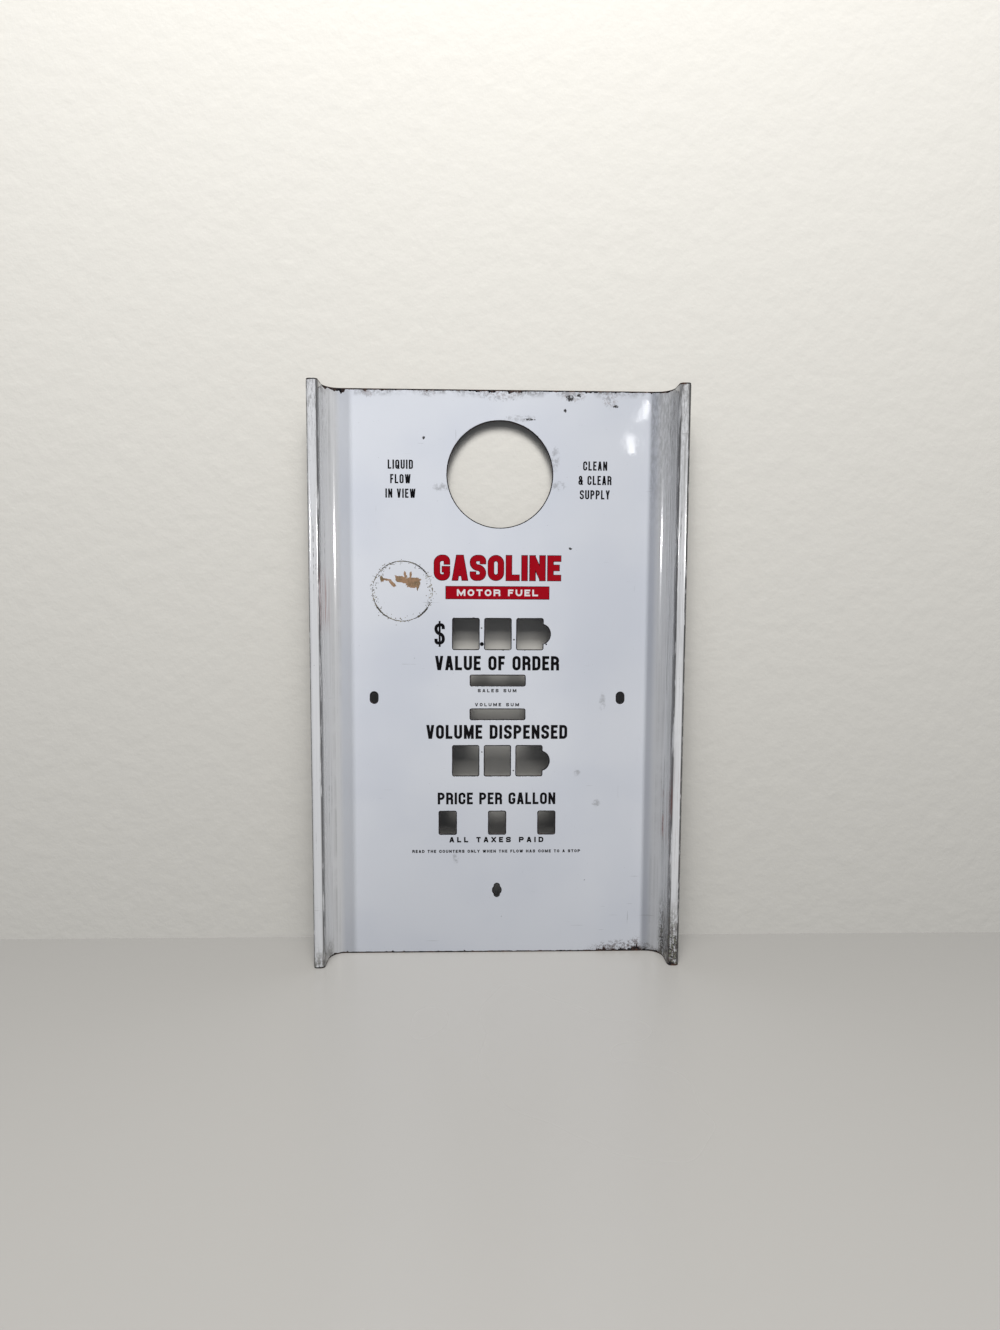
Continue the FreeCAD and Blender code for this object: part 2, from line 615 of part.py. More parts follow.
def plate_box(across, row, width, height, gauge):
    """Make a flat rectangle standing forward of the face."""
    corner = FreeCAD.Vector(across - width / 2, -gauge, row - height / 2)
    return Part.makeBox(width, gauge, height, corner)


def make_sight_blocks():
    """Make the two blocks of three lines beside the sight glass opening."""
    made = []
    for name, lines, side in SIGHT_BLOCKS:
        across = side * size("sight_block_spread") + size("stencil_shift")
        solids = []
        for index, text in enumerate(lines):
            row = size("sight_block_row") + (1 - index) * size("sight_line")
            solids += line_solids(
                text, across, row, family_of("sight"), size("sight_gap"), size("legend_gauge"))
        made.append(add_print(name, solids))
    return made


def make_line_legends():
    """Make the single-line legends of the counters and the footer."""
    return [
        add_print(name, line_solids(text, size("stencil_shift"), size(row), family_of(family),
                                    size(family + "_gap"), size("legend_gauge")))
        for name, text, family, row in LINE_LEGENDS
    ]


def make_currency_sign():
    """Make the currency sign: an S crossed by an upright bar."""
    cap, letter_width, stroke = family_of("currency")
    gauge = size("legend_gauge")
    across = size("stencil_shift") - size("currency_spread")
    row = size("sale_row")
    curve = letter_solid("S", across - letter_width / 2, row - cap / 2, (cap, letter_width, stroke), gauge)
    bar = plate_box(across, row, size("currency_bar_width"), size("currency_bar"), gauge)
    return add_print("currency_sign", [curve.fuse(bar).removeSplitter()])


def make_decimal_points():
    """Make the sale's decimal point and the small point beside its last wheel.

    The decimal point shrinks with the bar between two windows that it stands on.
    """
    gauge = size("legend_gauge")
    row = size("sale_row") - size("point_drop")
    bar = size("wheel_pitch") - size("wheel_window_width")
    diameter = min(size("point_diameter"), POINT_SHARE * bar)
    point = disc(-size("wheel_pitch") / 2, row, diameter, gauge)
    small = disc(size("fraction_point_spread"), row, size("fraction_point_diameter"), gauge)
    return add_print("decimal_points", [point, small])


def make_emblem():
    """Make the emblem: dark keyline, red word, red band and its white words."""
    gauge = size("legend_gauge")
    shift = size("stencil_shift")
    grow = size("keyline")
    band = (shift, size("band_row"), size("band_width"), size("band_height"))
    word = (EMBLEM_TEXT, shift, size("emblem_row"), family_of("emblem"), size("emblem_gap"), gauge)
    edge = line_solids(*word, grow=grow)
    edge.append(plate_box(band[0], band[1], band[2] + 2 * grow, band[3] + 2 * grow, gauge))
    return [
        add_print("emblem_keyline", edge),
        add_print("emblem_word", line_solids(*word), gauge),
        add_print("emblem_band", [plate_box(*band, gauge)], gauge),
        add_print("emblem_band_legend", line_solids(
            BAND_TEXT, shift, size("band_row"), family_of("band"), size("band_gap"), gauge), 2 * gauge),
    ]


def make_seal():
    """Make what is left of a round paper seal: a ring of glue and two scraps."""
    gauge = size("seal_gauge")
    outside = size("seal_diameter") / 2
    flat = size("plate_width") / 2 - size("lip_width") - size("cove_radius")
    centre = FreeCAD.Vector(-min(size("seal_spread"), flat - outside), 0, size("seal_row"))
    forward = FreeCAD.Vector(0, -1, 0)
    glue = []
    for start, stop in GLUE_ARCS:
        whole = Part.makeCylinder(outside, gauge, FreeCAD.Vector(), forward, stop - start)
        hole = Part.makeCylinder(outside - size("seal_line"), gauge, FreeCAD.Vector(), forward)
        arc = whole.cut(hole)
        arc.rotate(FreeCAD.Vector(), forward, start)
        arc.translate(centre)
        glue.append(arc)
    scraps = []
    for outline in PAPER_SCRAPS:
        curve = Part.BSplineCurve()
        curve.interpolate([centre + FreeCAD.Vector(x, 0, z) for x, z in outline], PeriodicFlag=True)
        scraps.append(Part.Face(Part.Wire(curve.toShape())).extrude(forward * gauge))
    return [add_print("seal_glue_ring", glue), add_print("seal_paper_scraps", scraps)]


# ---------------------------------------------------------------------------
# Checks and files
# ---------------------------------------------------------------------------

def check_document(nodes):
    """Stop if any object failed or any sub-part's shape is missing or bad."""
    DOC.recompute()
    for item in DOC.Objects:
        if "Invalid" in item.State or "Error" in item.State:
            raise RuntimeError("%s failed: %s" % (item.Name, item.State))
    for node in nodes:
        if node.Shape.isNull() or not node.Shape.isValid():
            raise RuntimeError("%s has no valid shape" % node.Label)


def write_nodes(nodes):
    """Write every sub-part to its own STEP file, named by its label."""
    os.makedirs("parts", exist_ok=True)
    for node in nodes:
        node.Shape.exportStep("parts/%s.step" % node.Label)
        box = node.Shape.BoundBox
        print("%-22s solids %3d volume %10.2f  y %.3f..%.3f  z %.2f..%.2f" % (
            node.Label, len(node.Shape.Solids), node.Shape.Volume,
            box.YMin, box.YMax, box.ZMin, box.ZMax))


def main():
    """Build the plate, check it and write its pieces."""
    fill_sheet()
    nodes = [make_layer(*layer) for layer in LAYERS]
    nodes += make_sight_blocks()
    nodes += make_emblem()
    nodes += make_line_legends()
    nodes.append(make_currency_sign())
    nodes.append(make_decimal_points())
    nodes += make_seal()
    check_document(nodes)
    write_nodes(nodes)


main()
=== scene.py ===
import json
import logging
import math
from dataclasses import dataclass, field
from enum import Enum

import bpy
import numpy as np
from mathutils import Matrix, Vector
from mathutils.geometry import delaunay_2d_cdt


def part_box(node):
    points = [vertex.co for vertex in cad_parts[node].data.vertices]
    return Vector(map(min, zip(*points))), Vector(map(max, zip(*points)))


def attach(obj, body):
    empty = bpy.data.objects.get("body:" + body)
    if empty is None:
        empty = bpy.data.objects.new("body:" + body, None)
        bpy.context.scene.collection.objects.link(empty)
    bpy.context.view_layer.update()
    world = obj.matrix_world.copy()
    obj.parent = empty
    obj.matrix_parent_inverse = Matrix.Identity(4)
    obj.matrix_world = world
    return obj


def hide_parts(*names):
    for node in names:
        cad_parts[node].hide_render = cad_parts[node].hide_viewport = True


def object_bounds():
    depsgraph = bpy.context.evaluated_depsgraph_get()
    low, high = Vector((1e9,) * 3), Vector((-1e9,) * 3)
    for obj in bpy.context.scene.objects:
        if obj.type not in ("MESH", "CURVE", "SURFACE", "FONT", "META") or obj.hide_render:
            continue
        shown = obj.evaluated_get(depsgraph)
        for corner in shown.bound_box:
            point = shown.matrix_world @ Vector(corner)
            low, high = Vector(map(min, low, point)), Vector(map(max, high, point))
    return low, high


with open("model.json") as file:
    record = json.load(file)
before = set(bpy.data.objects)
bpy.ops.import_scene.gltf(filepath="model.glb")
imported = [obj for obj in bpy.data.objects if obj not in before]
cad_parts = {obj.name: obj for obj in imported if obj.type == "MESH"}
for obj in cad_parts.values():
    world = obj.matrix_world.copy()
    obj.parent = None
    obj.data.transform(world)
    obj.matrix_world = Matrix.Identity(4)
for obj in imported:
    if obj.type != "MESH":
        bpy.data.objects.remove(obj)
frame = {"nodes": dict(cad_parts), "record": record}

# Looks of an enamelled fuel pump face plate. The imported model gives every
# place and overall size; metres throughout, X right, -Y out of the face, +Z up.

LOG = logging.getLogger("face_plate")
CAD_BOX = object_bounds()
MM = 0.001
Array = np.ndarray


# ---------------------------------------------------------------------------
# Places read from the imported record
# ---------------------------------------------------------------------------

def mount_place(name: str) -> tuple[float, float]:
    """Give a mount's place across and up the face."""
    mount = next(item for item in frame["record"]["mounts"] if item["name"] == name)
    return mount["pos_m"][0], mount["pos_m"][2]


def mount_radius(name: str) -> float:
    """Give a round mount's radius in metres."""
    mount = next(item for item in frame["record"]["mounts"] if item["name"] == name)
    return mount["dims"]["r_mm"] * MM


def opening_place(name: str) -> tuple[float, float]:
    """Give the middle of a stated opening.

    Args:
        name: the opening's name in the record.

    Returns:
        Its place across and up the face.
    """
    opening = next(item for item in frame["record"]["physics"]["openings"] if item["name"] == name)
    low, high = opening["box_m"]
    return (low[0] + high[0]) / 2, (low[2] + high[2]) / 2


# ---------------------------------------------------------------------------
# Edges of the enamel
# ---------------------------------------------------------------------------

@dataclass(frozen=True)
class Chip:
    """A bite out of the enamel's edge.

    Attributes:
        place: distance along the edge to the bite's middle.
        half_width: half its length along the edge.
        bite: how far it reaches in from the edge.
    """

    place: float
    half_width: float
    bite: float


def ragged(count: int, grain: float, seed: int) -> Array:
    """Make a closed run of smooth random numbers from about -1 to 1.

    White noise is smoothed in its frequencies by a bell curve whose width is
    the number of points divided by the grain.

    Args:
        count: how many points.
        grain: points from one bump to the next.
        seed: the random draw.

    Returns:
        One number per point.
    """
    noise = np.fft.rfft(np.random.default_rng(seed).standard_normal(count))
    waves = np.arange(len(noise))
    smooth = np.fft.irfft(noise * np.exp(-((waves * grain / count) ** 2)), count)
    return smooth / (2 * np.std(smooth) + 1e-12)


def bites(along: Array, chips: tuple[Chip, ...], seed: int) -> Array:
    """Add up bites out of an edge: each a half round with a rough floor.

    Args:
        along: distance along the edge of each of its points.
        chips: the bites.
        seed: the random draw of the roughness.

    Returns:
        How far each point is set back.
    """
    rough = 1 + 0.45 * ragged(len(along), 5, seed) + 0.25 * ragged(len(along), 2, seed + 1)
    total = np.zeros(len(along))
    for chip in chips:
        reach = 1 - ((along - chip.place) / chip.half_width) ** 2
        total = np.maximum(total, chip.bite * np.sqrt(np.clip(reach, 0, None)) * rough)
    return total


@dataclass(frozen=True)
class Margin:
    """How a coat stops short of the steel's edge.

    Attributes:
        setback: the usual distance short.
        wander: how much that varies either way.
        roll: how far the outer surface stops short of the inner one.
        bite: depth of the small chips scattered along every edge.
    """

    setback: float
    wander: float
    roll: float
    bite: float

    def along(self, distances: Array, chips: tuple[Chip, ...], seed: int) -> Array:
        """Give the setback at each point of an edge.

        Args:
            distances: distance along the edge of each point.
            chips: the large bites on it.
            seed: the random draw.

        Returns:
            The setback, never less than a hundredth of a millimetre.
        """
        count = len(distances)
        step = max(float(np.mean(np.abs(np.diff(distances)))), 1e-6)
        slow = ragged(count, 6 * MM / step, seed)
        quick = ragged(count, 0.9 * MM / step, seed + 7)
        small = np.clip(ragged(count, 2.2 * MM / step, seed + 13) - 0.75, 0, None) * self.bite
        line = self.setback + self.wander * (0.6 * slow + 0.4 * quick) + small
        return np.clip(np.maximum(line, bites(distances, chips, seed + 19)), 0.01 * MM, None)


@dataclass(frozen=True)
class RoundBox:
    """A box with round corners in the plane of the face.

    Attributes:
        across: its middle, across the face.
        up: its middle, up the face.
        half_width: half its width.
        half_height: half its height.
        radius: its corner radius.
    """

    across: float
    up: float
    half_width: float
    half_height: float
    radius: float

    def distance(self, x: Array, z: Array) -> Array:
        """Give each point's signed distance from the outline.

        It is the distance to the box shrunk by its corner radius, less that
        radius, and is negative inside.

        Args:
            x: the points' places across the face.
            z: their places up the face.

        Returns:
            One distance per point.
        """
        over_x = np.abs(x - self.across) - (self.half_width - self.radius)
        over_z = np.abs(z - self.up) - (self.half_height - self.radius)
        outside = np.hypot(np.maximum(over_x, 0), np.maximum(over_z, 0))
        return outside + np.minimum(np.maximum(over_x, over_z), 0) - self.radius


@dataclass(frozen=True)
class Opening:
    """A cut-out: the union of boxes, all of whose outline its middle sees.

    Attributes:
        across: the middle that the outline is swept about.
        up: its height.
        shapes: the boxes.
        chips: large bites in the enamel round it, by distance along the edge.
    """

    across: float
    up: float
    shapes: tuple[RoundBox, ...]
    chips: tuple[Chip, ...] = ()

    def reach(self, angles: Array, setback: Array) -> Array:
        """Find how far out along each ray the outline lies.

        The distance to the nearest box grows along a ray, so each ray is
        halved until it meets the wanted setback.

        Args:
            angles: the rays' directions.
            setback: the wanted distance outside the cut-out, for each ray.

        Returns:
            The distance from the middle along each ray.
        """
        low = np.zeros_like(angles)
        high = np.full_like(angles, 90 * MM)
        for _ in range(38):
            middle = (low + high) / 2
            x = self.across + middle * np.cos(angles)
            z = self.up + middle * np.sin(angles)
            inside = np.min([shape.distance(x, z) for shape in self.shapes], axis=0) < setback
            low = np.where(inside, middle, low)
            high = np.where(inside, high, middle)
        return (low + high) / 2

    def rays(self, spacing: float) -> tuple[Array, Array]:
        """Spread rays so that they meet the outline at even distances.

        Args:
            spacing: the distance wanted between points of the outline.

        Returns:
            The rays' angles, and the distance along the outline of each.
        """
        fine = np.linspace(0, 2 * np.pi, 6001)
        out = self.reach(fine, np.zeros_like(fine))
        steps = np.hypot(np.diff(out * np.cos(fine)), np.diff(out * np.sin(fine)))
        along = np.concatenate([[0], np.cumsum(steps)])
        count = max(24, int(along[-1] / spacing))
        wanted = np.arange(count) * along[-1] / count
        return np.interp(wanted, along, fine), wanted

    def ring(self, angles: Array, setback: Array) -> Array:
        """Give the outline's points at a setback, one per ray."""
        out = self.reach(angles, setback)
        return np.stack([self.across + out * np.cos(angles), self.up + out * np.sin(angles)], axis=1)


# ---------------------------------------------------------------------------
# The pressed sheet
# ---------------------------------------------------------------------------

@dataclass
class Section:
    """The plate's section, seen from above, as a path from its middle outwards.

    Attributes:
        half_width: middle to the outside of a flange.
        face_front: Y of the front of the flat face.
        lip_front: Y of the front of the lip.
        lip_width: the flange's inner wall to its outside.
        cove_radius: hollow between face and wall.
        bend_radius: both bends of the lip.
        return_depth: front of the lip to the end of the return.
        starts: distance along the path at which each stretch starts.
    """

    half_width: float
    face_front: float
    lip_front: float
    lip_width: float = 8.9 * MM
    cove_radius: float = 12 * MM
    bend_radius: float = 3 * MM
    return_depth: float = 9.8 * MM
    starts: Array = field(init=False)

    def __post_init__(self) -> None:
        """Work out where along the path each stretch starts."""
        quarter = math.pi / 2
        depth = self.face_front - self.lip_front
        lengths = [
            self.half_width - self.lip_width - self.cove_radius,
            self.cove_radius * quarter,
            depth - self.cove_radius - self.bend_radius,
            self.bend_radius * quarter,
            self.lip_width - 2 * self.bend_radius,
            self.bend_radius * quarter,
            self.return_depth - self.bend_radius,
        ]
        self.starts = np.concatenate([[0], np.cumsum(lengths)])

    @property
    def flat(self) -> float:
        """Half the width of the flat face."""
        return float(self.starts[1])

    @property
    def end(self) -> float:
        """Length of the path from the middle to the end of the return."""
        return float(self.starts[-1])

    def at(self, path: Array, depth: float) -> tuple[Array, Array]:
        """Place points at a distance along the path and a depth behind it.

        Straight stretches run on at right angles to each other and quarter
        circles join them; a depth moves a point back along the front
        surface's normal. Negative distances are mirrored to the left.

        Args:
            path: distance from the middle along the front surface.
            depth: how far behind the front surface.

        Returns:
            X and Y of each point.
        """
        run = np.abs(path)
        wall = self.half_width - self.lip_width
        out = self.half_width - self.bend_radius
        bend_y = self.lip_front + self.bend_radius
        cove = (run - self.starts[1]) / self.cove_radius
        inner = (run - self.starts[3]) / self.bend_radius
        outer = (run - self.starts[5]) / self.bend_radius
        hollow = self.cove_radius + depth
        round_ = self.bend_radius - depth
        level = np.full_like(run, 1.0)
        cases = [run <= self.starts[index] for index in range(1, 7)]
        x = np.select(cases, [
            run,
            self.flat + hollow * np.sin(cove),
            level * (wall + depth),
            wall + self.bend_radius - round_ * np.cos(inner),
            wall + self.bend_radius + run - self.starts[4],
            out + round_ * np.sin(outer),
        ], default=self.half_width - depth)
        y = np.select(cases, [
            level * (self.face_front + depth),
            self.face_front - self.cove_radius + hollow * np.cos(cove),
            self.face_front - self.cove_radius - (run - self.starts[2]),
            bend_y - round_ * np.sin(inner),
            level * (self.lip_front + depth),
            bend_y - round_ * np.cos(outer),
        ], default=bend_y + run - self.starts[6])
        return np.copysign(x, path), y

    def columns(self) -> Array:
        """Spread a flange's columns along the path, closer in its bends.

        Returns:
            The path distance of each column.
        """
        counts = (26, 12, 10, 5, 12, 8)
        parts = [
            np.linspace(self.starts[index + 1], self.starts[index + 2], count, endpoint=False)
            for index, count in enumerate(counts)
        ]
        return np.concatenate(parts + [[self.end]])


def grid_faces(first: Array, second: Array) -> Array:
    """Make the quads between two equally long rows of vertex numbers."""
    return np.stack([first[:-1], first[1:], second[1:], second[:-1]], axis=1)


def closed_strip(first: Array, second: Array) -> Array:
    """Make the quads between two closed rings of vertex numbers."""
    return np.stack([first, np.roll(first, -1), np.roll(second, -1), second], axis=1)


def make_object(name: str, points: Array, faces: list[Array], smooth_below: float = 20.0) -> bpy.types.Object:
    """Put points and faces into a mesh object at the origin.

    Args:
        name: the object's name.
        points: one row of X, Y, Z per vertex.
        faces: arrays of vertex numbers, each with three or four columns.
        smooth_below: edges that turn by more than this, in degrees, stay sharp.

    Returns:
        The object, linked to the scene.
    """
    mesh = bpy.data.meshes.new(name)
    mesh.from_pydata(points.tolist(), [], [face for group in faces for face in group.tolist()])
    mesh.validate()
    mesh.polygons.foreach_set("use_smooth", np.ones(len(mesh.polygons), dtype=bool))
    mesh.set_sharp_from_angle(angle=math.radians(smooth_below))
    mesh.update()
    made = bpy.data.objects.new(name, mesh)
    bpy.context.scene.collection.objects.link(made)
    return made


@dataclass
class SheetEdges:
    """The free edges of one coat.

    Attributes:
        openings: the cut-outs.
        margin: how the coat ends at the top, the bottom and the two tips.
        rim: how it ends round the openings.
        top_chips: large bites along the top.
        bottom_chips: large bites along the bottom.
        seed: the random draw.
    """

    openings: tuple[Opening, ...]
    margin: Margin
    rim: Margin
    top_chips: tuple[Chip, ...]
    bottom_chips: tuple[Chip, ...]
    seed: int


@dataclass
class Coat:
    """One coat of enamel as a closed shell that follows the pressed sheet.

    The flat face is a plane triangulated between its outlines; each flange is
    a grid of the section's columns by rows of height. Both are made at the
    coat's outer and inner depths, and strips join them round every free edge,
    where the outer surface stops a roll short of the inner one.

    Attributes:
        name: the piece's name.
        section: the sheet's section.
        height: the plate's height.
        outer: depth of the surface that shows.
        inner: depth of the surface that bears on the layer below.
        edges: its free edges.
        rows: rows of faces up each flange.
        spacing: distance between points along the free edges.
    """

    name: str
    section: Section
    height: float
    outer: float
    inner: float
    edges: SheetEdges
    rows: int = 24
    spacing: float = 0.42 * MM

    def levels(self) -> list[tuple[float, float]]:
        """Step through the coat from the surface that shows to the one that bears.

        Returns:
            A depth and an extra setback for each step.
        """
        roll = self.edges.margin.roll
        mid = self.outer + 0.35 * (self.inner - self.outer)
        return [(self.outer, roll), (mid, 0.3 * roll), (self.inner, 0.0)]

    def build(self) -> bpy.types.Object:
        """Make the coat's mesh.

        Returns:
            The object, with faces pointing outwards.
        """
        section = self.section
        margin = self.edges.margin
        seed = self.edges.seed
        flat_count = int(2 * section.flat / self.spacing)
        flat_x = np.linspace(-section.flat, section.flat, flat_count + 1)
        columns = section.columns()[1:]
        path = np.concatenate([-columns[::-1], flat_x, columns])
        rises = np.linspace(0, 1, self.rows + 1)
        top = margin.along(path, self.edges.top_chips, seed)
        bottom = margin.along(path, self.edges.bottom_chips, seed + 101)
        tip = margin.along(rises * self.height, (), seed + 202)
        rays = [opening.rays(self.spacing) for opening in self.edges.openings]
        setbacks = [
            self.edges.rim.along(along, opening.chips, seed + 303 + 31 * index)
            for index, (opening, (_, along)) in enumerate(zip(self.edges.openings, rays))
        ]

        flange = len(columns)
        sheets, flat_rings = [], []
        for depth, extra in self.levels():
            low, high = bottom + extra, self.height - top - extra
            z = low[None, :] + rises[:, None] * (high - low)[None, :]
            reach = section.end - tip[:, None] - extra
            stretch = (reach - section.flat) / (section.end - section.flat)
            outside = np.abs(path)[None, :] > section.flat
            pulled = section.flat + (np.abs(path) - section.flat) * stretch
            moved = np.where(outside, np.sign(path) * pulled, path)
            x, y = section.at(moved, depth)
            sheets.append(np.stack([x, y, z], axis=2))
            flat_rings.append([
                opening.ring(angles, setback + extra)
                for opening, (angles, _), setback in zip(self.edges.openings, rays, setbacks)
            ])

        # Vertex numbers: per level, every column's bottom and top, the inner
        # rows of the flange columns and of the two columns they share with
        # the flat face, and the rings of the openings.
        total = path.size
        grid = np.full((self.rows + 1, total), -1)
        keep = np.zeros((self.rows + 1, total), dtype=bool)
        keep[0, :] = keep[-1, :] = True
        keep[:, : flange + 1] = True
        keep[:, total - flange - 1:] = True
        grid[keep] = np.arange(keep.sum())
        ring_sizes = [len(angles) for angles, _ in rays]
        ring_starts = keep.sum() + np.concatenate([[0], np.cumsum(ring_sizes)])[:-1].astype(int)
        rings = [start + np.arange(size) for start, size in zip(ring_starts, ring_sizes)]
        per_level = int(keep.sum() + sum(ring_sizes))

        points = []
        for (depth, _), sheet, outlines in zip(self.levels(), sheets, flat_rings):
            points.append(sheet[keep])
            for outline in outlines:
                y = np.full(len(outline), section.face_front + depth)
                points.append(np.stack([outline[:, 0], y, outline[:, 1]], axis=1))
        points = np.concatenate(points)

        left, right = slice(0, flange + 1), slice(total - flange - 1, total)
        quads = [
            np.concatenate([grid_faces(part[row], part[row + 1]) for row in range(self.rows)])
            for part in (grid[:, left], grid[:, right])
        ]
        loop = np.concatenate([
            grid[0, flange: total - flange], grid[1:, total - flange - 1],
            grid[-1, flange: total - flange - 1][::-1], grid[1:-1, flange][::-1],
        ])
        triangles = self.fill(points, loop, rings)
        outer_faces = quads + [triangles]
        rim = np.concatenate([grid[0, :], grid[1:, -1], grid[-1, :-1][::-1], grid[1:-1, 0][::-1]])

        faces = list(outer_faces)
        last = per_level * (len(self.levels()) - 1)
        faces += [np.flip(group, axis=1) + last for group in outer_faces]
        for level in range(len(self.levels()) - 1):
            near, far = level * per_level, (level + 1) * per_level
            faces.append(np.flip(closed_strip(rim + near, rim + far), axis=1))
            faces += [closed_strip(ring + near, ring + far) for ring in rings]
        if self.outer > self.inner:
            faces = [np.flip(group, axis=1) for group in faces]
        return make_object(self.name, points, faces)

    def fill(self, points: Array, loop: Array, rings: list[Array]) -> Array:
        """Triangulate the flat face between its outline and its openings.

        Args:
            points: every vertex of the outer surface, first in the array.
            loop: vertex numbers round the flat face, anticlockwise from the front.
            rings: vertex numbers round each opening, anticlockwise.

        Returns:
            Triangles of vertex numbers, seen anticlockwise from the front.
        """
        order = np.concatenate([loop, *rings])
        flat = [Vector((points[index, 0], points[index, 2])) * 1000 for index in order]
        bounds = np.cumsum([0, len(loop)] + [len(ring) for ring in rings])
        outline = [list(range(bounds[0], bounds[1]))]
        holes = [list(range(high - 1, low - 1, -1)) for low, high in zip(bounds[1:-1], bounds[2:])]
        made = delaunay_2d_cdt(flat, [], outline + holes, 2, 1e-7)
        origin = np.array([ids[0] for ids in made[3]])
        return order[origin[np.array([list(face) for face in made[2]])]]


# ---------------------------------------------------------------------------
# Remains of the paper seal
# ---------------------------------------------------------------------------

